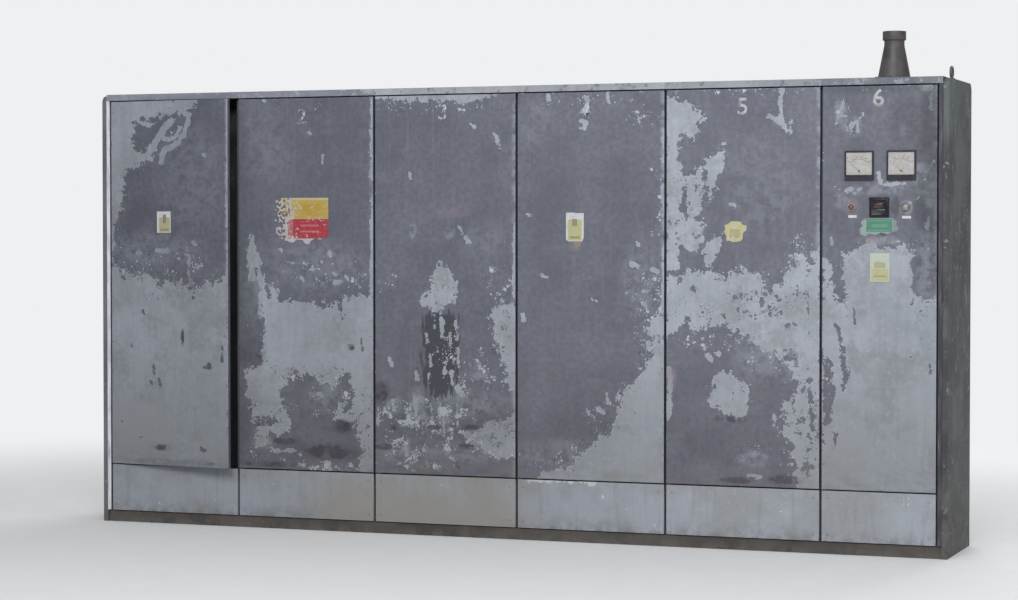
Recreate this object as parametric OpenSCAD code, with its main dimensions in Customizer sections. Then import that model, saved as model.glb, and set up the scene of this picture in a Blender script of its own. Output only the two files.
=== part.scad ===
// Row of six floor-standing switchgear cubicles with hinged doors of folded sheet steel.
// Millimetres. X runs along the row to the right, the doors face -Y, Z is up.
// The origin is on the floor, in the middle of the row's outline with the first door ajar.

/* [Row] */
// Width of each of the five wide cubicles
bay_w = 800; // [600:50:1000]
// Width of the last cubicle, which carries the instruments
last_bay_w = 600; // [550:50:800]
// Depth from the doors' faces to the backs of the rear panels
row_d = 600; // [500:50:800]
// Height of the row above the floor, without the fittings on the roof
row_h = 2340; // [2000:20:2400]

/* [Base and plinth] */
// Height of the base frame of steel channels
base_h = 60; // [50:5:100]
// Height of the top edge of the plinth panels
plinth_top = 314; // [200:2:400]
// How far the base frame stands back from the doors' faces
base_setback = 12; // [5:1:30]

/* [Doors] */
// Thickness of the door sheet
door_sheet = 3; // [2:0.5:4]
// Depth of a door pan
door_d = 25; // [20:1:30]
// Distance from a seam to the edge of the door beside it
seam_gap = 6; // [5:1:10]
// Width of the bare strip at each end of the row
end_strip = 28; // [20:1:40]
// How far the first door stands open when the row is at rest
ajar_deg = 7; // [0:1:15]
// Height of the locks above the floor
lock_z = 980; // [800:10:1200]
// Height of the first door's lock above the floor
first_lock_z = 870; // [800:10:1200]
// Distance from a lock to the free edge of its door
lock_in = 124; // [100:1:150]

/* [Frame] */
// Thickness of the frame, roof and plinth sheet
sheet = 3; // [2:0.5:4]
// Width of a frame post
post_w = 44; // [40:2:60]
// Depth of a frame post
post_d = 30; // [25:1:40]
// Thickness of the side covers
cover_t = 28; // [20:1:40]
// Corner radius of the side covers
cover_r = 40; // [20:5:60]
// How far the side covers stand back from the doors' faces
cover_setback = 4; // [3:1:40]
// Width of the trim strips at the ends of the row
trim_w = 20; // [10:1:20]

/* [Instruments] */
// Side of a square panel meter
meter_w = 144; // [96:48:144]
// Side of the square relay module between the lamps
module_w = 96; // [72:24:96]
// Height of the band under a meter's window
meter_band = 26; // [8:1:40]
// Height of the meters' centres above the floor
meter_z = 1912; // [1850:2:1950]
// Height of the lamps' and the module's centres above the floor
lamp_z = 1708; // [1650:2:1720]

/* [Roof fittings] */
// Length of a cable slot in the roof
slot_l = 560; // [300:20:600]
// Width of a cable slot in the roof
slot_w = 100; // [60:10:140]
// Height of the cable head above the roof
head_h = 245; // [180:5:300]
// Radius of the cable head's passage
head_bore_r = 22; // [15:1:30]

/* [Hidden] */
$fn = 48;
// Tiny overlap that joins what touches
eps = 0.01;
// How far a cut runs past the face that it leaves
over = 1;
// Play of a round part in its hole
hole_play = 0.1;
wide_bays = 5;
bays = wide_bays + 1;
row_l = wide_bays * bay_w + last_bay_w;

// X of seam i, counted from the left end of the row
function seam_x(i) = min(i * bay_w, row_l) - row_l / 2;
// Edges of the door of bay i, counted from zero
function door_x0(i) = seam_x(i) + (i == 0 ? end_strip : seam_gap);
function door_x1(i) = seam_x(i + 1) - (i == bays - 1 ? end_strip : seam_gap);
function door_w(i) = door_x1(i) - door_x0(i);

// A door turns on pins that stand this far in from its left edge and its face
hinge_in_x = 16;
hinge_in_y = 14;
// The open first door reaches this far in front of the closed ones
ajar_reach = (door_w(0) - hinge_in_x) * sin(ajar_deg) - hinge_in_y * (1 - cos(ajar_deg));
front_y = (ajar_reach - row_d) / 2;

// Heights
move_gap = 6;
door_z0 = plinth_top + move_gap;
cornice_h = 34;
door_z1 = row_h - cornice_h - move_gap;
door_h = door_z1 - door_z0;
frame_top = row_h - sheet;

// Depths, from the doors' faces
post_y = 40;
rear_panel_y = row_d - sheet;
rear_post_y = rear_panel_y - post_d;

// Hinge pins, their brackets and collars
pin_r = 5;
pin_play = 0.08;
pin_reach = 15;
bracket_w = 26;
bracket_left = 14;
bracket_t = 6;
bracket_front = 8;
bracket_gap = 8;
collar_r = 7.5;
collar_play = 0.3;

// Door pan
fold_r = 4;
lip_w = 15;
stiffener_w = 40;
stiffener_d = 15;
stiffener_t = 2;
stiffener_in = 45;

// Locks
function lock_height(i) = i == 0 ? first_lock_z : lock_z;
lock_r = 10.9;
rosette_r = 17;
rosette_t = 2;
boss_r = 12;
boss_t = 4;
key_w = 8;
key_depth = 12;
lock_l = 24;
lock_nut_r = 16;
lock_nut_t = 5;
cam_l = 55;
cam_w = 16;
cam_t = 3;

// Plinth panels
plinth_y = 3;
plinth_z0 = base_h + 4;
plinth_return_top = 290;

// Base frame
channel_d = 30;
channel_t = 4;
anchor_r = 7;
anchor_in = 13;
anchor_x = row_l / 2 - 200;

// Mounting rails
rail_w = 20;
rail_d = 40;
rail_t = 2;
rail_y = 430;
rail_z0 = 330;
rail_z1 = 2280;

// Roof
slot_y = 300;
slot_collar_t = 3;
slot_collar_h = 12;
roof_gap = 0.5;
rear_gap = 1;

// Cable head on the last roof
head_x = seam_x(wide_bays) + 297;
head_y = 300;
head_base_r = 104;
head_cone_r = 82;
head_neck_r = 50;
head_cap_r = 58;
head_flange_t = 10;
head_cone_top = 0.72 * head_h;
head_cap_foot = 0.82 * head_h;
head_spigot_l = 30;
head_spigot_r = 49;
head_bolts = 6;
head_bolt_in = 12;
head_bolt_r = 9;
head_bolt_h = 9;

// Lifting eye over the right end wall
eye_x = row_l / 2 - 16;
eye_y = 300;
eye_ring_r = 24.5;
eye_bar_r = 7;
eye_sink = 2;
eye_collar_r = 16;
eye_collar_h = 7;
eye_shank_r = 8;
eye_shank_l = 25;
eye_nut_r = 13.5;
eye_nut_t = 10;

// Instruments, placed from the left seam of the last bay
meter_x = [190, 398];
lamp_x = [152, 420];
module_x = 290;
bezel_t = 9;
meter_frame = 8;
meter_recess = 5;
boss_in_band_r = 5;
boss_in_band_t = 1.5;
boss_slot_w = 1.2;
boss_slot_d = 1;
meter_back = 137;
meter_back_d = 60;
module_back = 90;
module_back_d = 75;
module_frame = 5;
module_recess = 3;
panel_play = 0.5;
lamp_r = 22;
lamp_rim_t = 3;
lamp_ring_t = 7;
lamp_dome_r = 15;
lamp_dome_h = 11;
lamp_dome_z = 2;
lamp_back_r = 11;
lamp_back_d = 45;

door_nodes = [for (i = [1:bays]) str("door_", i)];
lock_nodes = [for (i = [1:bays]) str("lock_", i)];
roof_nodes = [for (i = [1:bays]) str("roof_", i)];
plinth_nodes = [for (i = [1:bays]) str("plinth_panel_", i)];
partition_nodes = [for (i = [1:wide_bays]) str("partition_", i)];

// Places its children so that Y counts from the plane of the closed doors' faces
module from_front() {
    translate([0, front_y, 0]) children();
}

// Slab outline with its two front corners rounded, the front at Y = 0
module folded_outline(w, d, r) {
    translate([r, 0]) square([w - 2 * r, d]);
    translate([0, r]) square([w, d - r]);
    for (x = [r, w - r]) translate([x, r]) circle(r);
}

// Rectangular tube outline, lower left corner at the origin
module tube_outline(w, d, t) {
    difference() {
        square([w, d]);
        translate([t, t]) square([w - 2 * t, d - 2 * t]);
    }
}

// Channel outline, its web at X = 0 and its flanges towards +X
module channel_outline(h, flange, t) {
    square([t, h]);
    square([flange, t]);
    translate([0, h - t]) square([flange, t]);
}

// Channel that runs along the row, its web at Y = 0
module base_channel() {
    difference() {
        translate([-row_l / 2, 0, 0]) rotate([90, 0, 90]) linear_extrude(row_l)
            channel_outline(base_h, channel_d, channel_t);
        for (side = [-1, 1]) translate([side * anchor_x, channel_d - anchor_in, -over])
            cylinder(h = channel_t + 2 * over, r = anchor_r);
    }
}

module base_front_channel() {
    color("#4d4844") from_front() translate([0, base_setback, 0]) base_channel();
}

module base_rear_channel() {
    color("#4d4844") from_front() translate([0, row_d - base_setback, 0])
        mirror([0, 1, 0]) base_channel();
}

// Left edge of the post at seam i
function post_x0(i) =
    i == 0 ? seam_x(0) : i == bays ? seam_x(bays) - post_w : seam_x(i) - post_w / 2;

module base_ties() {
    tie_y = base_setback + channel_d;
    color("#4d4844") from_front() for (i = [0:bays])
        translate([post_x0(i), row_d - tie_y, 0]) rotate([90, 0, 0])
            linear_extrude(row_d - 2 * tie_y) tube_outline(post_w, base_h, channel_t);
}

// Bracket on the post's face with a pin that points up into the door, and the collar under it
module lower_hinge() {
    translate([-bracket_left, bracket_front, 0])
        cube([bracket_w, post_y - bracket_front, bracket_t]);
    translate([0, hinge_in_y, 0]) {
        cylinder(h = bracket_t + bracket_gap + pin_reach, r = pin_r);
        cylinder(h = bracket_t + bracket_gap - collar_play, r = collar_r);
    }
}

module upper_hinge() {
    translate([-bracket_left, bracket_front, pin_reach + bracket_gap])
        cube([bracket_w, post_y - bracket_front, bracket_t]);
    translate([0, hinge_in_y, 0]) cylinder(h = pin_reach + bracket_gap + bracket_t, r = pin_r);
}

module hinge_brackets() {
    color("#59616a") from_front() for (i = [0:bays - 1])
        translate([door_x0(i) + hinge_in_x, 0, 0]) {
            translate([0, 0, door_z0 - bracket_gap - bracket_t]) lower_hinge();
            translate([0, 0, door_z1 - pin_reach]) upper_hinge();
        }
}

// Wall at seam i: a front and a rear post joined by a sheet
module wall(i) {
    web_x = i == 0 ? seam_x(0) : i == bays ? seam_x(bays) - sheet : seam_x(i) - sheet / 2;
    color("#59616a") from_front() translate([0, 0, base_h]) linear_extrude(frame_top - base_h) {
        for (y = [post_y, rear_post_y])
            translate([post_x0(i), y]) tube_outline(post_w, post_d, sheet);
        translate([web_x, post_y + post_d - eps])
            square([sheet, rear_post_y - post_y - post_d + 2 * eps]);
    }
}

// Folded sheet with returns at its sides and foot that reach back to the posts
module plinth_panel(i) {
    w = door_w(i);
    d = post_y - plinth_y;
    h = plinth_top - plinth_z0;
    color("#8a9296") from_front() translate([door_x0(i), plinth_y, plinth_z0]) difference() {
        linear_extrude(h) folded_outline(w, d, fold_r);
        translate([sheet, sheet, sheet]) cube([w - 2 * sheet, d, h]);
        translate([-over, fold_r, plinth_return_top - plinth_z0]) cube([w + 2 * over, d, h]);
    }
}

// Angle strips in front of the end posts, beside the first and the last door
module end_trims() {
    color("#9aa1a6") from_front() for (side = [0, 1]) mirror([side, 0, 0])
        translate([-row_l / 2, 0, plinth_z0]) linear_extrude(row_h - cornice_h - 1 - plinth_z0) {
            square([trim_w, sheet]);
            square([sheet, post_y]);
        }
}

// Pan of one door, from its lower left front corner, with its lock's hole at the height lock_at
module door_pan(w, lock_at) {
    difference() {
        linear_extrude(door_h) folded_outline(w, door_d, fold_r);
        translate([door_sheet, door_sheet, door_sheet])
            cube([w - 2 * door_sheet, door_d - 2 * door_sheet, door_h - 2 * door_sheet]);
        translate([lip_w, door_sheet, lip_w]) cube([w - 2 * lip_w, door_d, door_h - 2 * lip_w]);
        for (z = [0, door_h - door_sheet]) translate([hinge_in_x, hinge_in_y, z - over])
            cylinder(h = door_sheet + 2 * over, r = pin_r + pin_play);
        translate([w - lock_in, -over, lock_at - door_z0]) rotate([-90, 0, 0])
            cylinder(h = door_sheet + 2 * over, r = lock_r + hole_play);
    }
}

// Hat-section stiffeners welded inside the pan, top to bottom
module door_stiffeners(w) {
    for (x = [stiffener_in, w - stiffener_in - stiffener_w])
        translate([x, door_sheet - eps, door_sheet - eps])
            linear_extrude(door_h - 2 * door_sheet + 2 * eps) difference() {
                square([stiffener_w, stiffener_d]);
                translate([stiffener_t, -eps])
                    square([stiffener_w - 2 * stiffener_t, stiffener_d - stiffener_t]);
            }
}

// Cut-outs in the last door for the meters, the lamps and the module
module instrument_cutouts() {
    meter_hole = meter_back + 2 * panel_play;
    module_hole = module_back + 2 * panel_play;
    depth = door_sheet + 2 * over;
    for (x = meter_x) translate([x - meter_hole / 2, -over, meter_z - meter_hole / 2])
        cube([meter_hole, depth, meter_hole]);
    translate([module_x - module_hole / 2, -over, lamp_z - module_hole / 2])
        cube([module_hole, depth, module_hole]);
    for (x = lamp_x) translate([x, -over, lamp_z]) rotate([-90, 0, 0])
        cylinder(h = depth, r = lamp_back_r + hole_play);
}

// Turns its children with the first door, which stands ajar
module with_door(i) {
    turn = i == 0 ? -ajar_deg : 0;
    pin = [door_x0(i) + hinge_in_x, hinge_in_y, 0];
    from_front() translate(pin) rotate([0, 0, turn]) translate(-pin) children();
}

module door(i) {
    w = door_w(i);
    color("#636c7a") with_door(i) difference() {
        translate([door_x0(i), 0, door_z0]) {
            door_pan(w, lock_height(i));
            door_stiffeners(w);
        }
        if (i == bays - 1) translate([seam_x(i), 0, 0]) instrument_cutouts();
    }
}

// Square-key lock: rosette and boss in front, barrel, nut and cam behind
module lock(i) {
    color("#3b3f44") with_door(i) translate([door_x1(i) - lock_in, 0, lock_height(i)])
        rotate([-90, 0, 0]) difference() {
            union() {
                translate([0, 0, -rosette_t]) cylinder(h = rosette_t, r = rosette_r);
                translate([0, 0, -rosette_t - boss_t]) cylinder(h = boss_t, r = boss_r);
                cylinder(h = lock_l, r = lock_r);
                translate([0, 0, door_sheet]) cylinder(h = lock_nut_t, r = lock_nut_r, $fn = 6);
                translate([-cam_w / 2, -cam_w / 2, lock_l]) cube([cam_w, cam_l, cam_t]);
            }
            translate([-key_w / 2, -key_w / 2, -rosette_t - boss_t - eps])
                cube([key_w, key_w, key_depth]);
        }
}

// Roof section, drawn with X down from the roof's top and Y back from the doors' faces
module roof_profile() {
    translate([fold_r, 0]) square([cornice_h - fold_r, sheet]);
    translate([0, fold_r]) square([sheet, row_d - fold_r]);
    intersection() {
        translate([fold_r, fold_r]) difference() {
            circle(fold_r);
            circle(fold_r - sheet);
        }
        square(fold_r);
    }
}

// Upright collar round the cable slot of bay i
module slot_collar(i, grow, foot, top) {
    mid = (seam_x(i) + seam_x(i + 1)) / 2;
    translate([mid - slot_l / 2 - grow, slot_y - slot_w / 2 - grow, foot])
        cube([slot_l + 2 * grow, slot_w + 2 * grow, top - foot]);
}

// Roof sheet of bay i with its folded front edge, which is the cornice over the door
module roof(i) {
    x0 = seam_x(i) + (i == 0 ? 0 : roof_gap / 2);
    x1 = seam_x(i + 1) - (i == bays - 1 ? 0 : roof_gap / 2);
    color("#7d868c") from_front() difference() {
        union() {
            translate([x0, 0, row_h]) rotate([90, 0, 90]) linear_extrude(x1 - x0)
                rotate(-90) roof_profile();
            if (i < wide_bays) slot_collar(i, slot_collar_t, frame_top, row_h + slot_collar_h);
        }
        if (i < wide_bays)
            slot_collar(i, 0, frame_top - over, row_h + slot_collar_h + over);
        else {
            translate([head_x, head_y, frame_top - over])
                cylinder(h = sheet + 2 * over, r = head_spigot_r + over);
            translate([eye_x, eye_y, frame_top - over])
                cylinder(h = sheet + 2 * over, r = eye_shank_r + hole_play);
        }
    }
}

module rear_panels() {
    color("#59616a") from_front() for (i = [0:bays - 1])
        translate([seam_x(i) + rear_gap, rear_panel_y, base_h + 2 * rear_gap])
            cube([seam_x(i + 1) - seam_x(i) - 2 * rear_gap, sheet, frame_top - base_h - 2 * rear_gap]);
}

// Channel rails on both walls of every cubicle
module mounting_rails() {
    color("#9aa0a4") from_front() for (i = [0:bays - 1]) {
        left = seam_x(i) + (i == 0 ? sheet : sheet / 2);
        right = seam_x(i + 1) - (i == bays - 1 ? sheet : sheet / 2);
        translate([left, rail_y, rail_z0]) linear_extrude(rail_z1 - rail_z0)
            translate([rail_w, 0]) mirror([1, 0]) channel_outline(rail_d, rail_w, rail_t);
        translate([right - rail_w, rail_y, rail_z0]) linear_extrude(rail_z1 - rail_z0)
            channel_outline(rail_d, rail_w, rail_t);
    }
}

// Outline of a side cover seen from the side, rounded at its upper corners
module cover_outline(l, h, r) {
    square([l, h - r]);
    translate([r, 0]) square([l - 2 * r, h]);
    for (y = [r, l - r]) translate([y, h - r]) circle(r);
}

// Tray that closes an end of the row down to the floor, its open side at X = 0
module side_cover() {
    l = rear_panel_y - cover_setback;
    h = row_h - 2 * sheet;
    difference() {
        translate([0, cover_setback, 0]) rotate([90, 0, 90]) linear_extrude(cover_t)
            cover_outline(l, h, cover_r);
        translate([-eps, cover_setback + sheet, sheet]) rotate([90, 0, 90])
            linear_extrude(cover_t - sheet + eps)
                cover_outline(l - 2 * sheet, h - 2 * sheet, cover_r - sheet);
    }
}

module side_cover_left() {
    color("#565f62") from_front() translate([-row_l / 2, 0, 0]) mirror([1, 0, 0]) side_cover();
}

module side_cover_right() {
    color("#565f62") from_front() translate([row_l / 2, 0, 0]) side_cover();
}

// Flared sealing end that a single cable would leave the last roof through
module cable_head() {
    color("#3a3634") from_front() translate([head_x, head_y, row_h]) {
        rotate_extrude() difference() {
            union() {
                square([head_base_r, head_flange_t]);
                polygon([[0, head_flange_t - eps], [head_cone_r, head_flange_t - eps],
                         [head_neck_r, head_cone_top], [0, head_cone_top]]);
                square([head_neck_r, head_cap_foot + eps]);
                translate([0, head_cap_foot]) square([head_cap_r, head_h - head_cap_foot]);
                translate([0, -head_spigot_l]) square([head_spigot_r, head_spigot_l + eps]);
            }
            translate([-over, -head_spigot_l - over])
                square([head_bore_r + over, head_h + head_spigot_l + 2 * over]);
        }
        for (k = [0:head_bolts - 1]) rotate([0, 0, (k + 0.5) * 360 / head_bolts])
            translate([head_base_r - head_bolt_in, 0, head_flange_t - eps])
                cylinder(h = head_bolt_h + eps, r = head_bolt_r, $fn = 6);
    }
}

// Eye bolt with its ring edge-on to the front, its nut under the roof
module lifting_eye() {
    color("#4a4d50") from_front() translate([eye_x, eye_y, row_h]) {
        translate([0, 0, eye_collar_h + eye_ring_r + eye_bar_r - eye_sink]) rotate([0, 90, 0])
            rotate_extrude() translate([eye_ring_r, 0]) circle(eye_bar_r);
        cylinder(h = eye_collar_h, r = eye_collar_r);
        translate([0, 0, -eye_shank_l]) cylinder(h = eye_shank_l + eps, r = eye_shank_r);
        translate([0, 0, -sheet - eye_nut_t]) rotate(30)
            cylinder(h = eye_nut_t, r = eye_nut_r, $fn = 6);
    }
}

// Square instrument: bezel with a recessed face in front of the door, housing behind it
module square_instrument(w, back_w, back_d, frame_w, band, recess) {
    difference() {
        translate([-w / 2, -bezel_t, -w / 2]) cube([w, bezel_t, w]);
        translate([-w / 2 + frame_w, -bezel_t - eps, -w / 2 + band])
            cube([w - 2 * frame_w, recess + eps, w - frame_w - band]);
    }
    translate([-back_w / 2, -eps, -back_w / 2]) cube([back_w, back_d, back_w]);
}

// Slotted screw for setting the needle, in the middle of the band under a meter's window
module zero_screw() {
    translate([0, -bezel_t, (meter_band - meter_w) / 2]) difference() {
        rotate([90, 0, 0]) translate([0, 0, -eps])
            cylinder(h = boss_in_band_t + eps, r = boss_in_band_r);
        translate([-boss_in_band_r - over, -boss_in_band_t - over, -boss_slot_w / 2])
            cube([2 * boss_in_band_r + 2 * over, boss_slot_d + over, boss_slot_w]);
    }
}

module panel_meters() {
    color("#e4ddc8") from_front() for (x = meter_x)
        translate([seam_x(wide_bays) + x, 0, meter_z]) {
            square_instrument(meter_w, meter_back, meter_back_d, meter_frame, meter_band,
                meter_recess);
            zero_screw();
        }
}

module relay_module() {
    color("#1d1d20") from_front() translate([seam_x(wide_bays) + module_x, 0, lamp_z])
        square_instrument(module_w, module_back, module_back_d, module_frame, module_frame,
            module_recess);
}

// Lens dome in a bevelled ring, with its lamp holder behind the door
module signal_lamps() {
    color("#8c5a4e") from_front() for (x = lamp_x)
        translate([seam_x(wide_bays) + x, 0, lamp_z]) rotate([90, 0, 0]) rotate_extrude() {
            translate([0, -lamp_back_d]) square([lamp_back_r, lamp_back_d + eps]);
            polygon([[0, 0], [lamp_r, 0], [lamp_r, lamp_rim_t],
                     [lamp_r - lamp_rim_t, lamp_ring_t], [0, lamp_ring_t]]);
            translate([0, lamp_dome_z]) intersection() {
                scale([1, lamp_dome_h / lamp_dome_r]) circle(lamp_dome_r);
                square(lamp_r);
            }
        }
}

base_front_channel();
base_rear_channel();
base_ties();
wall(0);  // end_wall_left
wall(bays);  // end_wall_right
for (i = [1:wide_bays]) wall(i);
for (i = [0:bays - 1]) roof(i);
for (i = [0:bays - 1]) plinth_panel(i);
hinge_brackets();
end_trims();
rear_panels();
mounting_rails();
side_cover_left();
side_cover_right();
cable_head();
lifting_eye();
panel_meters();
signal_lamps();
relay_module();
for (i = [0:bays - 1]) door(i);
for (i = [0:bays - 1]) lock(i);
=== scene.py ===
# %% [markdown]
# # A row of six switchgear cubicles
# This script dresses a long switchboard of folded sheet steel. Its shapes that carry or move come from
# the CAD frame, which is loaded first and never changed. Everything that gives the row its old, peeled
# look is made here: new door leaves with a fine front face, the peeling paint on them, the meters'
# dials, lamps, plates, numerals and screws. Each step says what the real piece is and why it was
# made in this way.

# %% Load the frame, with a helper that reads a part's box
import math

import bmesh
import bpy
import numpy as np
from mathutils import Matrix, Vector, noise


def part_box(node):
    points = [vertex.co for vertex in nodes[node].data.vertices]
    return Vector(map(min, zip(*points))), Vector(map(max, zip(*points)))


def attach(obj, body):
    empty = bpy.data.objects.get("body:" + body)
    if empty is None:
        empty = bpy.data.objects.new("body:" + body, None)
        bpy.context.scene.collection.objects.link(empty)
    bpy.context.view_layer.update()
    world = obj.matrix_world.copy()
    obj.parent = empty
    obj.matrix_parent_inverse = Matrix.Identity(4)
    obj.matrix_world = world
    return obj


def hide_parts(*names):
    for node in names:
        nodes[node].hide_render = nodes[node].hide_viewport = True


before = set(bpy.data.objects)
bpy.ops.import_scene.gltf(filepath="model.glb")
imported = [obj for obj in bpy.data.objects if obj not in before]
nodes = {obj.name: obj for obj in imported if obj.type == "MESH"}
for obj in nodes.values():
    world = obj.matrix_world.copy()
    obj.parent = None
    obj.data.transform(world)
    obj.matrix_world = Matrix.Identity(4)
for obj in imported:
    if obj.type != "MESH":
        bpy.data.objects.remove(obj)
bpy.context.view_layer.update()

# %% [markdown]
# ## The row's own measures
# The CAD source gives every size in millimetres. The few that the new pieces need are repeated here in
# metres. Depths count from the plane of the closed doors' faces, and heights from the floor.

# %% Measures
SEAMS = [-2.3, -1.5, -0.7, 0.1, 0.9, 1.7, 2.3]
FACE_Y = -0.254351
DOOR_FOOT, DOOR_HEAD = 0.320, 2.300
DOOR_DEPTH = 0.025
AJAR = math.radians(-7)
DOORS = range(1, 7)


def door_edges(number):
    """Left and right edge of a closed door, counted from one."""
    left = SEAMS[number - 1] + (0.028 if number == 1 else 0.006)
    right = SEAMS[number] - (0.028 if number == 6 else 0.006)
    return left, right


def hinge_pin(number):
    """The line that a door turns on, as a point on it."""
    return Vector((door_edges(number)[0] + 0.016, FACE_Y + 0.014, 0))


for number in DOORS:
    left, right = door_edges(number)
    print("door", number, "is", round((right - left) * 1000), "mm wide")

# %% [markdown]
# ## Working in edit mode from code
# By hand one picks a face or an edge with the mouse. In code it is picked by its place or its normal,
# and then the same operators do the work: extrude, inset, bevel. These helpers keep that short. A
# finished piece has its place in its mesh, so its object stays at the origin.


# %% Helpers for picking and shaping
def select_nothing():
    """Leave every object unselected, so that an operator acts on the next piece alone."""
    if bpy.context.object and bpy.context.object.mode != "OBJECT":
        bpy.ops.object.mode_set(mode="OBJECT")
    bpy.ops.object.select_all(action="DESELECT")


def make_active(piece):
    select_nothing()
    piece.select_set(True)
    bpy.context.view_layer.objects.active = piece


def settle(piece):
    """Move the piece's place, turn and scale into its mesh."""
    make_active(piece)
    bpy.ops.object.transform_apply(location=True, rotation=True, scale=True)


def block(name, low, high):
    """A plain block between two corners, as the start of a piece."""
    low, high = Vector(low), Vector(high)
    select_nothing()
    bpy.ops.mesh.primitive_cube_add(size=1, location=(low + high) / 2)
    piece = bpy.context.object
    piece.name = name
    piece.scale = high - low
    settle(piece)
    return piece


def disc(name, centre, radius, thickness, sides=32):
    """A round blank whose axis runs front to back, from the centre of its front face."""
    select_nothing()
    bpy.ops.mesh.primitive_cylinder_add(
        vertices=sides, radius=radius, depth=thickness, rotation=(math.pi / 2, 0, 0),
        location=Vector(centre) + Vector((0, thickness / 2, 0)))
    piece = bpy.context.object
    piece.name = name
    settle(piece)
    return piece


def edit(piece, pick="FACE"):
    """Open the piece in edit mode with nothing picked."""
    make_active(piece)
    bpy.ops.object.mode_set(mode="EDIT")
    bpy.ops.mesh.select_mode(type=pick)
    bpy.ops.mesh.select_all(action="DESELECT")


def pick_faces(test):
    """Pick the faces for which test(centre, normal) is true."""
    mesh = bmesh.from_edit_mesh(bpy.context.object.data)
    for face in mesh.faces:
        face.select_set(bool(test(face.calc_center_median(), face.normal)))
    bmesh.update_edit_mesh(bpy.context.object.data)


def pick_edges(test):
    """Pick the edges for which test(one end, other end) is true."""
    mesh = bmesh.from_edit_mesh(bpy.context.object.data)
    for edge in mesh.edges:
        edge.select_set(bool(test(edge.verts[0].co, edge.verts[1].co)))
    bmesh.update_edit_mesh(bpy.context.object.data)


def leave_edit():
    bpy.ops.object.mode_set(mode="OBJECT")


print("picking helpers ready")

# %% [markdown]
# A shape is finished by modifiers, which are applied one by one, and then the piece is hung on what
# carries it: a door leaf, or the carcass of the row. The first door stands ajar, so what belongs to it
# is built on the shut door and turned about the hinge pin afterwards.


# %% Helpers for finishing and hanging
def finish_with(piece, kind, **settings):
    """Add one modifier to the piece and apply it."""
    make_active(piece)
    modifier = piece.modifiers.new(kind.title(), kind)
    for key, value in settings.items():
        setattr(modifier, key, value)
    bpy.ops.object.modifier_apply(modifier=modifier.name)


def soften(piece, width, segments=2):
    """Round the piece's sharp edges and shade it smooth between them."""
    finish_with(piece, "BEVEL", width=width, segments=segments, limit_method="ANGLE",
                angle_limit=math.radians(40), harden_normals=False)
    make_active(piece)
    bpy.ops.object.shade_smooth_by_angle(angle=math.radians(35))


def join(pieces, name):
    """One object out of several that are one part."""
    make_active(pieces[0])
    for piece in pieces:
        piece.select_set(True)
    bpy.ops.object.join()
    pieces[0].name = name
    return pieces[0]


def swing_ajar(piece):
    """Turn a piece that was built on the shut first door to where that door stands."""
    pin = hinge_pin(1)
    piece.matrix_world = (Matrix.Translation(pin) @ Matrix.Rotation(AJAR, 4, "Z")
                          @ Matrix.Translation(-pin))
    settle(piece)


def hang_on_door(piece, number):
    """The piece rides on a door's body. On the first door it is swung ajar first."""
    if number == 1:
        swing_ajar(piece)
    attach(piece, f"leaf_{number}")


print("hanging helpers ready")

# %% [markdown]
# ## Building materials from nodes
# Every finish here is a small tree of nodes: noise and cells break a surface up, ramps and mixes turn
# that into colour, roughness and bump. A short class keeps the trees readable. Each method adds one
# node and gives back its output, and plain numbers go straight onto the sockets.


# %% A small class for node trees
class NodeTree:
    """A material whose nodes are added one call at a time."""

    def __init__(self, name):
        self.material = bpy.data.materials.new(name)
        self.material.use_nodes = True
        self.tree = self.material.node_tree
        self.shader = self.tree.nodes["Principled BSDF"]
        self.where = None

    def feed(self, socket, value):
        """Link an output to the socket, or set the socket's own number or colour."""
        if isinstance(value, bpy.types.NodeSocket):
            self.tree.links.new(value, socket)
        else:
            socket.default_value = value

    def add(self, kind, sockets=None, **settings):
        """A node with these settings, its sockets linked or set."""
        node = self.tree.nodes.new(kind)
        for key, value in settings.items():
            setattr(node, key, value)
        for key, value in (sockets or {}).items():
            self.feed(node.inputs[key], value)
        return node

    def set(self, **sockets):
        """Set or link the shader's sockets, for example set(Roughness=0.5)."""
        for key, value in sockets.items():
            self.feed(self.shader.inputs[key.replace("_", " ")], value)

    def place(self):
        """The point on the piece, in metres of the row's own frame."""
        if self.where is None:
            self.where = self.add("ShaderNodeTexCoord").outputs["Object"]
        return self.where

    def painted(self, name, output="Fac"):
        """A value that was written on the mesh under this name."""
        return self.add("ShaderNodeAttribute", attribute_name=name).outputs[output]

    def axis(self, vector, letter):
        return self.add("ShaderNodeSeparateXYZ", {"Vector": vector}).outputs[letter]

    def stretch(self, vector, scale=(1, 1, 1), shift=(0, 0, 0)):
        sockets = {"Vector": vector, "Scale": scale, "Location": shift}
        return self.add("ShaderNodeMapping", sockets).outputs["Vector"]

    def math(self, operation, *values):
        return self.add("ShaderNodeMath", dict(enumerate(values)), operation=operation).outputs[0]

    def times(self, first, second):
        return self.math("MULTIPLY", first, second)

    def times_plus(self, value, factor, more):
        """Value times factor, with more added."""
        return self.math("MULTIPLY_ADD", value, factor, more)

    def minus(self, first, second):
        return self.math("SUBTRACT", first, second)

    def ramp(self, value, low, high, to_low=0.0, to_high=1.0):
        """Value taken smoothly from low..high to to_low..to_high, and held beyond them."""
        sockets = {"Value": value, "From Min": low, "From Max": high, "To Min": to_low,
                   "To Max": to_high}
        return self.add("ShaderNodeMapRange", sockets,
                        interpolation_type="SMOOTHSTEP").outputs["Result"]


print("node tree class ready")

# %% [markdown]
# The second class makes patterns and colours out of these. Noise gives clouds, cells give
# flakes, blobs give separate chips, and a layer lays one colour over another where a value is high.


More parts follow.
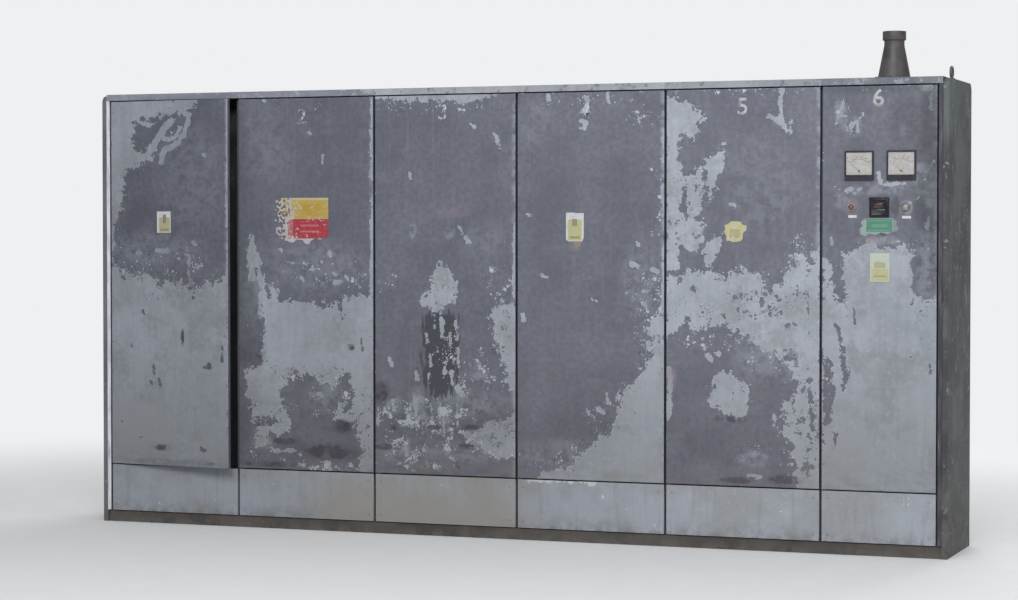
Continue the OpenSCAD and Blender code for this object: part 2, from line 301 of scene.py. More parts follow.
# %% Patterns and colours
class Finish(NodeTree):
    """A finish with ready patterns, colour layers and bumps."""

    def noise(self, vector, scale, detail=4.0, roughness=0.55):
        sockets = {"Vector": vector, "Scale": scale, "Detail": detail, "Roughness": roughness}
        return self.add("ShaderNodeTexNoise", sockets).outputs["Fac"]

    def warp(self, vector, scale, reach):
        """The vector pushed about by noise, which bends straight cell borders."""
        cloud = self.add("ShaderNodeTexNoise", {"Vector": vector, "Scale": scale, "Detail": 2.0})
        centred = self.add("ShaderNodeVectorMath", {0: cloud.outputs["Color"], 1: (0.5, 0.5, 0.5)},
                           operation="SUBTRACT").outputs[0]
        return self.add("ShaderNodeVectorMath", {0: centred, 1: (reach, reach, reach), 2: vector},
                        operation="MULTIPLY_ADD").outputs[0]

    def cells(self, vector, scale):
        """A random value for each cell, which reads as one flake, and the distance to its middle."""
        cell = self.add("ShaderNodeTexVoronoi", {"Vector": vector, "Scale": scale}).outputs
        split = self.add("ShaderNodeSeparateColor", {"Color": cell["Color"]})
        return split.outputs["Red"], cell["Distance"]

    def blobs(self, vector, scale, crowd):
        """Separate chips: above zero inside a chip. Crowd, from 0 to 1, sets how many and how big."""
        found, distance = self.cells(vector, scale)
        return self.minus(self.times(self.minus(crowd, found), 0.62), distance)

    def blend(self, share, first, second):
        """First colour at share 0, second at share 1."""
        first, second = ((*v, 1.0) if isinstance(v, tuple) else v for v in (first, second))
        return self.add("ShaderNodeMix", {0: share, 6: first, 7: second}, data_type="RGBA").outputs[2]

    def layer(self, under, colour, value, *span):
        """The colour laid over another one, as much as the ramp of the value says."""
        return self.blend(self.ramp(value, *span), under, colour)

    def scaled(self, colour, share):
        """The colour made darker or lighter by a share."""
        sockets = {"Vector": colour, "Scale": share}
        return self.add("ShaderNodeVectorMath", sockets, operation="SCALE").outputs["Vector"]

    def bump(self, height, distance, strength=1.0, under=None, inward=False):
        """Relief of this height in metres, on top of the relief under it."""
        sockets = {"Height": height, "Distance": distance, "Strength": strength}
        if under is not None:
            sockets["Normal"] = under
        return self.add("ShaderNodeBump", sockets, invert=inward).outputs["Normal"]


def cover(material, *pieces):
    """Give the pieces this one material all over."""
    for piece in pieces:
        piece.data.materials.clear()
        piece.data.materials.append(material)


print("pattern helpers ready")

# %% [markdown]
# ## A door leaf as folded sheet
# A switchgear door is one sheet whose four edges are folded back twice, which makes a stiff, shallow
# pan. It could be a box with a recess, but then its edges would look machined. So it starts as a grid
# in the door's plane, its border is extruded back for the returns and inwards for the lips, the folds
# are bevelled, and Solidify gives the sheet its thickness. The grid stays fine, because it also
# carries the marks of the paint, and a sheet of this size is never quite flat: a weak Displace
# lets it swell and sink by about a millimetre between its stiff edges.

# %% Model a door leaf
GRID = 0.008
SHEET, FOLD, LIP = 0.003, 0.004, 0.015


def near(value, target, reach=0.0004):
    return abs(value - target) < reach


def fold_pan(name, left, right, foot, head, face, depth, lip):
    """A pan of folded sheet with its outside on the given planes."""
    select_nothing()
    columns = round((right - left) / GRID)
    rows = round((head - foot) / GRID)
    bpy.ops.mesh.primitive_grid_add(
        x_subdivisions=columns, y_subdivisions=rows, size=1, rotation=(math.pi / 2, 0, 0),
        location=((left + right) / 2, face, (foot + head) / 2))
    pan = bpy.context.object
    pan.name = name
    pan.scale = (right - left, head - foot, 1)
    settle(pan)
    centre = ((left + right) / 2, face + depth, (foot + head) / 2)

    edit(pan, "EDGE")
    bpy.ops.mesh.select_all(action="SELECT")
    bpy.ops.mesh.region_to_loop()
    bpy.ops.mesh.extrude_region_move(TRANSFORM_OT_translate={"value": (0, depth, 0)})
    bpy.ops.mesh.extrude_region_move(TRANSFORM_OT_translate={"value": (0, 0, 0)})
    bpy.ops.transform.resize(
        value=((right - left - 2 * lip) / (right - left), 1, (head - foot - 2 * lip) / (head - foot)),
        center_override=centre)

    def on_border(point):
        return (near(point.x, left) or near(point.x, right)
                or near(point.z, foot) or near(point.z, head))

    bpy.ops.mesh.select_all(action="DESELECT")
    pick_edges(lambda a, b: near(a.y, face) and near(b.y, face) and on_border(a) and on_border(b)
               and (near(a.x, b.x) and (near(a.x, left) or near(a.x, right))
                    or near(a.z, b.z) and (near(a.z, foot) or near(a.z, head))))
    bpy.ops.mesh.bevel(offset=FOLD, segments=3, affect="EDGES")
    bpy.ops.mesh.select_all(action="DESELECT")
    pick_edges(lambda a, b: near(a.y, face + depth) and near(b.y, face + depth)
               and on_border(a) and on_border(b))
    bpy.ops.mesh.bevel(offset=SHEET, segments=2, affect="EDGES")
    leave_edit()
    return pan


print("folding ready, on a grid of", GRID * 1000, "mm")

# %% Build the leaves
STIFF_RIM, SWELL_RAMP, SWELL = 0.02, 0.10, 0.006
ripple = bpy.data.textures.new("sheet_ripple", "CLOUDS")
ripple.noise_scale = 0.32
ripple.noise_depth = 1


def let_sheet_swell(pan, left, right, foot, head, face):
    """Push the flat front in and out a little, but not its edges."""
    group = pan.vertex_groups.new(name="flat front")
    for vertex in pan.data.vertices:
        x, y, z = vertex.co
        edge = min(x - left, right - x, z - foot, head - z)
        if near(y, face) and edge > STIFF_RIM:
            group.add([vertex.index], min(1.0, (edge - STIFF_RIM) / SWELL_RAMP), "REPLACE")
    finish_with(pan, "DISPLACE", texture=ripple, texture_coords="LOCAL", direction="Y",
                strength=SWELL, mid_level=0.5, vertex_group=group.name)


leaves = {}
for number in DOORS:
    left, right = door_edges(number)
    leaf = fold_pan(f"door_leaf_{number}", left, right, DOOR_FOOT, DOOR_HEAD, FACE_Y, DOOR_DEPTH, LIP)
    let_sheet_swell(leaf, left, right, DOOR_FOOT, DOOR_HEAD, FACE_Y)
    finish_with(leaf, "SOLIDIFY", thickness=SHEET, offset=-1, use_even_offset=True)
    leaves[number] = leaf
    print(leaf.name, "has", len(leaf.data.polygons), "faces")

# %% [markdown]
# A sheet of this size would drum and buckle, so two hat sections are welded up its inside. A hat is a
# flat strip whose long edges are extruded towards the door and then given a thickness. One function
# models it, and each door gets a pair of its own.

# %% Hat stiffeners inside the doors
HAT_WIDTH, HAT_DEPTH, HAT_SHEET, HAT_IN = 0.040, 0.015, 0.002, 0.045


def hat_section(left):
    """One stiffener, open towards the door, whose left side is at that x."""
    top = FACE_Y + SHEET + HAT_DEPTH
    foot, head = DOOR_FOOT + SHEET, DOOR_HEAD - SHEET
    select_nothing()
    bpy.ops.mesh.primitive_plane_add(size=1, rotation=(-math.pi / 2, 0, 0),
                                     location=(left + HAT_WIDTH / 2, top, (foot + head) / 2))
    hat = bpy.context.object
    hat.scale = (HAT_WIDTH, head - foot, 1)
    settle(hat)
    edit(hat, "EDGE")
    pick_edges(lambda a, b: near(a.x, b.x))
    bpy.ops.mesh.extrude_region_move(TRANSFORM_OT_translate={"value": (0, -HAT_DEPTH, 0)})
    leave_edit()
    finish_with(hat, "SOLIDIFY", thickness=HAT_SHEET, offset=-1, use_even_offset=True)
    soften(hat, 0.0007, 1)
    return hat


for number, leaf in leaves.items():
    left, right = door_edges(number)
    pair = [hat_section(left + HAT_IN), hat_section(right - HAT_IN - HAT_WIDTH)]
    leaves[number] = join([leaf] + pair, leaf.name)
print("two hat sections in each door,", round((DOOR_HEAD - DOOR_FOOT) * 1000), "mm long")

# %% [markdown]
# ## Holes for the pins, the locks and the instruments
# The pins that a door turns on stand up into its foot and down into its head, and the locks and
# instruments sit in cut-outs. Such holes are punched after the sheet is folded, so here too they are
# cut last, each with one Boolean. The cutters are plain blanks, joined and then thrown away.

# %% Cut the holes
PIN_HOLE_R, LOCK_HOLE_R, LAMP_HOLE_R = 0.00508, 0.011, 0.0111
METER_CUT, MODULE_CUT = 0.138, 0.091
BLANK = 0.02
LOCK_IN = 0.124
LOCK_Z = {number: 0.870 if number == 1 else 0.980 for number in DOORS}
METERS_X, METER_Z = (1.890, 2.098), 1.912
LAMPS_X, LAMP_Z = (1.852, 2.120), 1.708
MODULE_X = 1.990


def upright_blank(centre, radius, height):
    select_nothing()
    bpy.ops.mesh.primitive_cylinder_add(vertices=24, radius=radius, depth=height, location=centre)
    blank = bpy.context.object
    settle(blank)
    return blank


def cut(piece, blanks):
    """Take the blanks out of the piece."""
    cutter = join(blanks, "cutter")
    finish_with(piece, "BOOLEAN", object=cutter, operation="DIFFERENCE", solver="EXACT")
    bpy.data.objects.remove(cutter)


for number, leaf in leaves.items():
    left, right = door_edges(number)
    pin = hinge_pin(number)
    before = FACE_Y - BLANK / 2
    blanks = [upright_blank((pin.x, pin.y, z), PIN_HOLE_R, BLANK) for z in (DOOR_FOOT, DOOR_HEAD)]
    blanks.append(disc("blank", (right - LOCK_IN, before, LOCK_Z[number]), LOCK_HOLE_R, BLANK, 24))
    if number == 6:
        squares = [(x, METER_Z, METER_CUT / 2) for x in METERS_X] + [(MODULE_X, LAMP_Z, MODULE_CUT / 2)]
        blanks += [block("blank", (x - half, before, z - half), (x + half, FACE_Y + BLANK / 2, z + half))
                   for x, z, half in squares]
        blanks += [disc("blank", (x, before, LAMP_Z), LAMP_HOLE_R, BLANK, 24) for x in LAMPS_X]
    cut(leaf, blanks)
    make_active(leaf)
    bpy.ops.object.shade_smooth_by_angle(angle=math.radians(30))
    print(leaf.name, "after its holes:", len(leaf.data.polygons), "faces")

# %% [markdown]
# ## Where the paint has come off
# The doors were painted dark over a pale undercoat, and the dark coat peels in patches with a shape of
# their own on each door. Noise alone would put patches anywhere. So each patch is drawn as an outline,
# in metres from the bay's left seam and from the floor, as one would paint a mask. For each point of
# the fine front the script works out how far inside or outside the outlines it lies, and the
# material then breaks that soft border up into flakes. "bare" takes the dark coat off, "coat" leaves an
# island of it, and the number after it says over how many metres the border is ragged.

# %% Outlines of the bare patches
PATCHES = {
    1: [
        ("bare", 0.020, [(0.00, 2.32), (0.60, 2.32), (0.58, 2.25), (0.47, 2.23), (0.37, 2.22),
         (0.26, 2.20), (0.18, 2.19), (0.175, 2.08), (0.20, 2.03), (0.25, 2.02), (0.29, 2.06),
         (0.33, 2.03), (0.28, 1.97), (0.20, 1.95), (0.14, 1.95), (0.115, 1.92), (0.11, 1.82),
         (0.095, 1.74), (0.07, 1.67), (0.045, 1.62), (0.035, 1.52), (0.035, 1.40), (0.00, 1.38)]),
        ("bare", 0.030, [(0.00, 1.41), (0.10, 1.40), (0.14, 1.36), (0.20, 1.335), (0.28, 1.34),
         (0.36, 1.315), (0.45, 1.31), (0.52, 1.315), (0.60, 1.29), (0.70, 1.31), (0.80, 1.34),
         (0.80, 0.28), (0.00, 0.28)]),
    ],
    2: [
        ("bare", 0.012, [(0.075, 1.585), (0.10, 1.55), (0.125, 1.46), (0.145, 1.38), (0.165, 1.30),
         (0.185, 1.20), (0.13, 1.20), (0.125, 1.30), (0.107, 1.42), (0.10, 1.33), (0.068, 1.33),
         (0.060, 1.46)]),
        ("bare", 0.022, [(0.14, 1.24), (0.20, 1.24), (0.20, 1.285), (0.24, 1.285), (0.245, 1.215),
         (0.56, 1.215), (0.57, 1.24), (0.69, 1.235), (0.71, 1.25), (0.81, 1.25), (0.81, 0.28),
         (0.70, 0.28), (0.72, 0.42), (0.74, 0.47), (0.69, 0.53), (0.70, 0.60), (0.57, 0.60),
         (0.58, 0.67), (0.70, 0.68), (0.68, 0.76), (0.66, 0.84), (0.60, 0.83), (0.55, 0.77),
         (0.50, 0.80), (0.42, 0.84), (0.37, 0.81), (0.33, 0.84), (0.28, 0.81), (0.26, 0.75),
         (0.265, 0.69), (0.31, 0.62), (0.30, 0.54), (0.25, 0.50), (0.12, 0.49), (0.10, 0.56),
         (0.07, 0.60), (0.09, 0.67), (0.06, 0.70), (0.045, 0.79), (0.045, 0.86), (0.17, 0.87),
         (0.17, 0.93), (0.15, 1.02), (0.145, 1.15)]),
        ("coat", 0.014, [(0.10, 0.595), (0.22, 0.60), (0.26, 0.575), (0.22, 0.56), (0.10, 0.545)]),
        ("bare", 0.010, [(0.10, 0.49), (0.19, 0.49), (0.20, 0.45), (0.11, 0.44)]),
        ("bare", 0.008, [(0.21, 0.425), (0.37, 0.435), (0.38, 0.42), (0.22, 0.408)]),
    ],
    3: [
        ("bare", 0.018, [(-0.02, 2.33), (0.80, 2.33), (0.72, 2.305), (0.64, 2.295), (0.58, 2.265),
         (0.53, 2.272), (0.48, 2.258), (0.41, 2.268), (0.35, 2.272), (0.25, 2.282), (0.20, 2.258),
         (0.12, 2.272), (0.05, 2.282), (-0.02, 2.285)]),
        ("bare", 0.016, [(0.38, 1.435), (0.42, 1.40), (0.455, 1.335), (0.46, 1.29), (0.485, 1.25),
         (0.45, 1.22), (0.40, 1.235), (0.37, 1.195), (0.32, 1.185), (0.28, 1.20), (0.255, 1.225),
         (0.29, 1.27), (0.33, 1.33), (0.35, 1.40)]),
        ("coat", 0.010, [(0.385, 1.33), (0.40, 1.35), (0.40, 1.30), (0.385, 1.29)]),
        ("bare", 0.020, [(0.64, 1.17), (0.68, 1.185), (0.70, 1.21), (0.81, 1.22), (0.81, 0.78),
         (0.745, 0.79), (0.725, 0.90), (0.70, 1.00), (0.68, 1.08), (0.66, 1.13)]),
        ("bare", 0.024, [(0.55, 0.52), (0.60, 0.56), (0.66, 0.605), (0.72, 0.60), (0.81, 0.66),
         (0.81, 0.43), (0.70, 0.425), (0.66, 0.46), (0.62, 0.45), (0.58, 0.50)]),
    ],
    4: [
        ("bare", 0.022, [(0.81, 1.20), (0.74, 1.16), (0.70, 1.10), (0.73, 1.06), (0.755, 1.00),
         (0.745, 0.95), (0.70, 0.93), (0.68, 0.88), (0.64, 0.83), (0.59, 0.81), (0.57, 0.76),
         (0.55, 0.72), (0.60, 0.70), (0.56, 0.67), (0.53, 0.62), (0.50, 0.57), (0.45, 0.55),
         (0.43, 0.50), (0.36, 0.47), (0.33, 0.43), (0.30, 0.39), (0.20, 0.365), (0.14, 0.345),
         (0.13, 0.28), (0.81, 0.28)]),
    ],
    5: [
        ("bare", 0.016, [(0.00, 2.29), (0.04, 2.265), (0.10, 2.23), (0.17, 2.205), (0.195, 2.18),
         (0.18, 2.12), (0.16, 2.06), (0.13, 2.05), (0.10, 2.08), (0.075, 2.07), (0.068, 1.95),
         (0.07, 1.89), (0.095, 1.85), (0.16, 1.89), (0.22, 1.955), (0.27, 1.985), (0.305, 2.03),
         (0.30, 1.91), (0.265, 1.84), (0.25, 1.76), (0.225, 1.745), (0.215, 1.81), (0.19, 1.80),
         (0.195, 1.71), (0.165, 1.66), (0.13, 1.665), (0.12, 1.74), (0.112, 1.81), (0.085, 1.81),
         (0.080, 1.70), (0.10, 1.66), (0.19, 1.64), (0.20, 1.54), (0.15, 1.50), (0.085, 1.52),
         (0.085, 1.40), (0.00, 1.38)]),
        ("coat", 0.010, [(0.198, 1.905), (0.225, 1.885), (0.212, 1.84), (0.190, 1.86)]),
        ("bare", 0.014, [(0.305, 1.58), (0.23, 1.55), (0.20, 1.50), (0.205, 1.43), (0.25, 1.40),
         (0.27, 1.47), (0.29, 1.52)]),
        ("bare", 0.026, [(0.00, 1.375), (0.08, 1.36), (0.12, 1.385), (0.20, 1.37), (0.24, 1.39),
         (0.30, 1.36), (0.35, 1.395), (0.46, 1.395), (0.505, 1.38), (0.51, 1.34), (0.56, 1.31),
         (0.60, 1.31), (0.62, 1.38), (0.65, 1.44), (0.70, 1.485), (0.74, 1.45), (0.81, 1.52),
         (0.81, 0.28), (0.69, 0.28), (0.675, 0.42), (0.65, 0.53), (0.625, 0.60), (0.61, 0.67),
         (0.62, 0.74), (0.67, 0.79), (0.68, 0.86), (0.64, 0.90), (0.60, 0.915), (0.57, 0.985),
         (0.50, 1.005), (0.45, 1.045), (0.42, 1.09), (0.33, 1.105), (0.30, 1.125), (0.22, 1.13),
         (0.19, 1.10), (0.15, 1.11), (0.10, 1.125), (0.07, 1.085), (0.00, 1.065)]),
        ("coat", 0.014, [(0.105, 1.165), (0.14, 1.16), (0.15, 1.13), (0.11, 1.125)]),
        ("coat", 0.018, [(0.60, 0.94), (0.62, 1.00), (0.66, 1.02), (0.69, 0.96), (0.69, 0.93)]),
        ("bare", 0.016, [(0.245, 0.845), (0.265, 0.885), (0.32, 0.90), (0.36, 0.87), (0.405, 0.845),
         (0.44, 0.825), (0.435, 0.74), (0.415, 0.68), (0.38, 0.66), (0.33, 0.69), (0.29, 0.70),
         (0.25, 0.725), (0.22, 0.76), (0.26, 0.79)]),
    ],
    6: [
        ("bare", 0.018, [(0.112, 1.36), (0.118, 1.48), (0.172, 1.500), (0.20, 1.525), (0.22, 1.535),
         (0.25, 1.535), (0.27, 1.52), (0.30, 1.510), (0.36, 1.510), (0.38, 1.53), (0.41, 1.53),
         (0.425, 1.51), (0.435, 1.49), (0.452, 1.47), (0.455, 1.26), (0.60, 1.25), (0.60, 0.28),
         (0.00, 0.28), (0.00, 1.46), (0.03, 1.46), (0.055, 1.42), (0.06, 1.30), (0.085, 1.235),
         (0.125, 1.235), (0.12, 1.36)]),
        ("coat", 0.010, [(0.070, 1.14), (0.095, 1.12), (0.125, 1.00), (0.142, 0.90), (0.118, 0.80),
         (0.105, 0.88), (0.095, 1.02)]),
        ("coat", 0.010, [(0.022, 0.975), (0.055, 0.96), (0.070, 0.78), (0.050, 0.66), (0.020, 0.62),
         (0.012, 0.80)]),
        ("coat", 0.008, [(0.062, 0.61), (0.085, 0.60), (0.082, 0.53), (0.066, 0.53)]),
    ],
}
print("patches:", {number: len(patches) for number, patches in PATCHES.items()})

# %% [markdown]
# Scratches and small chips are drawn as short lines, each a half width and the points that it passes.
# A second list gives the specks of the dark coat that cling on over bare patches. Numbers stay round,
# because the noise hides a centimetre either way.

# %% Scratches and clinging flakes
SCRATCHES = {
    1: [(0.008, [(0.790, 2.29), (0.790, 1.62)]), (0.008, [(0.790, 1.52), (0.790, 1.34)]),
        (0.020, [(0.12, 1.99), (0.22, 1.985), (0.30, 2.03), (0.345, 2.10), (0.39, 2.16), (0.44, 2.19)]),
        (0.017, [(0.365, 1.97), (0.385, 2.03), (0.43, 2.05), (0.48, 2.07), (0.53, 2.15), (0.545, 2.22)]),
        (0.012, [(0.37, 2.10), (0.42, 2.085), (0.46, 2.10), (0.49, 2.15)]),
        (0.010, [(0.23, 2.185), (0.29, 2.165), (0.33, 2.18)]),
        (0.015, [(0.335, 1.487), (0.36, 1.483), (0.40, 1.488)]),
        (0.009, [(0.205, 1.48), (0.225, 1.475)]),
        (0.008, [(0.52, 1.47), (0.545, 1.46), (0.54, 1.35)]), (0.008, [(0.57, 1.535), (0.59, 1.52)]),
        (0.008, [(0.64, 2.00), (0.65, 2.00)]), (0.007, [(0.60, 1.40), (0.63, 1.41)])],
    2: [(0.005, [(0.505, 2.00), (0.505, 1.95)]), (0.006, [(0.42, 2.115), (0.44, 2.11)]),
        (0.009, [(0.575, 1.325), (0.605, 1.325)]), (0.006, [(0.56, 1.375), (0.58, 1.36)]),
        (0.005, [(0.30, 1.43), (0.34, 1.42)]), (0.005, [(0.49, 1.44), (0.50, 1.43)]),
        (0.007, [(0.16, 2.29), (0.17, 2.28)]), (0.009, [(0.790, 1.76), (0.790, 1.26)]),
        (0.007, [(0.430, 1.395), (0.445, 1.39)]), (0.007, [(0.375, 1.345), (0.39, 1.335)]),
        (0.006, [(0.64, 1.36), (0.655, 1.34)]), (0.007, [(0.70, 1.31), (0.72, 1.30)]),
        (0.006, [(0.25, 1.50), (0.265, 1.49)]), (0.006, [(0.54, 1.48), (0.55, 1.46)]),
        (0.010, [(0.475, 0.73), (0.495, 0.72)]), (0.007, [(0.790, 2.28), (0.790, 1.86)]),
        (0.008, [(0.790, 0.95), (0.790, 0.48)])],
    3: [(0.009, [(0.790, 1.62), (0.790, 1.26)]),
        (0.006, [(0.675, 2.10), (0.695, 2.07), (0.71, 2.02)]), (0.005, [(0.20, 1.91), (0.205, 1.87)]),
        (0.006, [(0.48, 1.62), (0.51, 1.57), (0.545, 1.53)]), (0.009, [(0.235, 0.72), (0.24, 0.63)]),
        (0.011, [(0.110, 0.70), (0.115, 0.66)]), (0.007, [(0.02, 0.67), (0.022, 0.56)]),
        (0.010, [(0.18, 0.47), (0.185, 0.42)]), (0.008, [(0.395, 0.62), (0.40, 0.53)]),
        (0.012, [(0.47, 0.78), (0.50, 0.74)]), (0.010, [(0.50, 0.545), (0.53, 0.54)]),
        (0.009, [(0.53, 1.54), (0.55, 1.53)]), (0.009, [(0.375, 1.17), (0.39, 1.12), (0.39, 1.04)]),
        (0.007, [(0.465, 1.13), (0.47, 1.03)]), (0.006, [(0.30, 1.06), (0.30, 1.01)]),
        (0.006, [(0.32, 0.95), (0.325, 0.89)]), (0.006, [(0.345, 1.15), (0.345, 1.09)]),
        (0.006, [(0.36, 1.00), (0.365, 0.96)]), (0.007, [(0.405, 0.92), (0.40, 0.85)]),
        (0.007, [(0.43, 1.06), (0.435, 0.98)]), (0.007, [(0.44, 0.86), (0.445, 0.79)]),
        (0.008, [(0.475, 0.98), (0.48, 0.89)]), (0.006, [(0.455, 0.93), (0.45, 0.90)]),
        (0.006, [(0.31, 0.85), (0.315, 0.80)]), (0.006, [(0.33, 0.66), (0.335, 0.61)]),
        (0.007, [(0.60, 0.90), (0.605, 0.84)]), (0.008, [(0.242, 0.86), (0.248, 0.82)]),
        (0.008, [(0.09, 0.92), (0.095, 0.89)]), (0.006, [(0.55, 2.15), (0.57, 2.13)])],
    4: [(0.009, [(0.790, 2.10), (0.790, 1.94)]), (0.009, [(0.790, 1.82), (0.790, 1.68)]),
        (0.008, [(0.790, 1.50), (0.790, 1.22)]), (0.008, [(0.175, 2.29), (0.18, 2.26)]),
        (0.007, [(0.385, 2.27), (0.39, 2.22), (0.375, 2.19)]),
        (0.007, [(0.35, 2.15), (0.385, 2.145), (0.37, 2.11), (0.35, 2.12)]),
        (0.005, [(0.495, 2.29), (0.50, 2.24)]), (0.005, [(0.66, 2.16), (0.67, 2.12)]),
        (0.013, [(0.62, 1.425), (0.66, 1.415)]), (0.011, [(0.69, 1.225), (0.70, 1.20)]),
        (0.012, [(0.735, 1.40), (0.755, 1.39)]), (0.010, [(0.71, 1.02), (0.72, 1.00)]),
        (0.008, [(0.14, 1.37), (0.165, 1.355)]), (0.006, [(0.41, 1.245), (0.44, 1.235)]),
        (0.010, [(0.035, 1.17), (0.04, 1.13)]), (0.006, [(0.65, 1.54), (0.66, 1.52)]),
        (0.006, [(0.055, 1.68), (0.075, 1.67)]), (0.012, [(0.495, 0.76), (0.50, 0.725)]),
        (0.007, [(0.69, 1.295), (0.71, 1.29)]), (0.010, [(0.44, 0.69), (0.47, 0.67)]),
        (0.008, [(0.385, 0.69), (0.395, 0.66)])],
    5: [(0.010, [(0.605, 2.31), (0.595, 2.22), (0.60, 2.14), (0.625, 2.09), (0.645, 2.085)]),
        (0.007, [(0.535, 2.165), (0.575, 2.135), (0.61, 2.10)]),
        (0.006, [(0.655, 2.15), (0.64, 2.10)]), (0.009, [(0.14, 2.10), (0.165, 2.11)]),
        (0.011, [(0.015, 0.90), (0.028, 0.82), (0.018, 0.65)]),
        (0.008, [(0.565, 0.68), (0.565, 0.63)]), (0.012, [(0.22, 0.97), (0.24, 0.955)]),
        (0.008, [(0.265, 0.98), (0.285, 0.98)]), (0.010, [(0.44, 0.375), (0.50, 0.37)]),
        (0.008, [(0.20, 1.06), (0.205, 1.00)]), (0.007, [(0.335, 1.725), (0.365, 1.72)])],
    6: [(0.006, [(0.11, 2.235), (0.095, 2.17), (0.075, 2.12)]),
        (0.006, [(0.08, 2.17), (0.13, 2.145)]), (0.005, [(0.145, 2.13), (0.155, 2.07)]),
        (0.006, [(0.165, 2.115), (0.205, 2.155)]), (0.005, [(0.18, 2.12), (0.185, 2.08)]),
        (0.009, [(0.285, 1.87), (0.295, 1.83)]), (0.005, [(0.31, 1.82), (0.42, 1.825)]),
        (0.005, [(0.08, 1.80), (0.12, 1.785), (0.15, 1.80)]), (0.005, [(0.17, 1.775), (0.20, 1.80)]),
        (0.005, [(0.52, 1.88), (0.56, 1.93)]), (0.006, [(0.545, 2.26), (0.54, 2.18)]),
        (0.005, [(0.44, 1.73), (0.48, 1.75)]), (0.006, [(0.535, 1.66), (0.525, 1.60)]),
        (0.007, [(0.05, 1.56), (0.055, 1.52)])],
}
CLINGING_MARKS = {
    1: [(0.011, [(0.31, 0.86), (0.315, 0.82)]), (0.009, [(0.285, 0.775), (0.30, 0.765)]),
        (0.010, [(0.345, 0.79), (0.35, 0.76)]), (0.008, [(0.08, 0.56), (0.10, 0.55)]),
        (0.009, [(0.34, 0.42), (0.37, 0.415)]), (0.008, [(0.62, 0.42), (0.64, 0.41)]),
        (0.006, [(0.50, 1.06), (0.50, 0.98)]), (0.007, [(0.757, 0.98), (0.757, 0.90)]),
        (0.006, [(0.16, 0.98), (0.165, 0.96)]), (0.006, [(0.24, 1.16), (0.25, 1.15)]),
        (0.006, [(0.42, 0.61), (0.45, 0.60)]), (0.006, [(0.21, 0.47), (0.25, 0.475)])],
    2: [(0.010, [(0.60, 1.21), (0.61, 1.18)]), (0.010, [(0.66, 0.99), (0.67, 0.975)]),
        (0.010, [(0.59, 0.565), (0.65, 0.55)]), (0.006, [(0.73, 1.02), (0.735, 0.96)])],
    5: [(0.012, [(0.145, 1.31), (0.155, 1.29)]), (0.012, [(0.50, 1.25), (0.505, 1.23)]),
        (0.012, [(0.575, 1.27), (0.59, 1.25)]), (0.010, [(0.37, 1.215), (0.38, 1.20)]),
        (0.010, [(0.30, 1.18), (0.31, 1.165)]), (0.010, [(0.60, 1.19), (0.605, 1.16)]),
        (0.010, [(0.535, 1.31), (0.545, 1.295)]), (0.009, [(0.32, 1.35), (0.325, 1.33)]),
        (0.011, [(0.745, 0.86), (0.75, 0.72), (0.76, 0.62)]), (0.007, [(0.735, 1.24), (0.74, 1.15)])],
    6: [(0.008, [(0.46, 1.45), (0.463, 1.28)]), (0.005, [(0.54, 0.96), (0.545, 0.90)]),
        (0.006, [(0.165, 1.22), (0.17, 1.14)])],
}
print("scratches:", sum(map(len, SCRATCHES.values())), "and", sum(map(len, CLINGING_MARKS.values())))

# %% [markdown]
# Zones in which chips crowd together are ovals: centre, two half widths and how dense they are. The
# same form says where specks of the coat cling on over bare sheet.

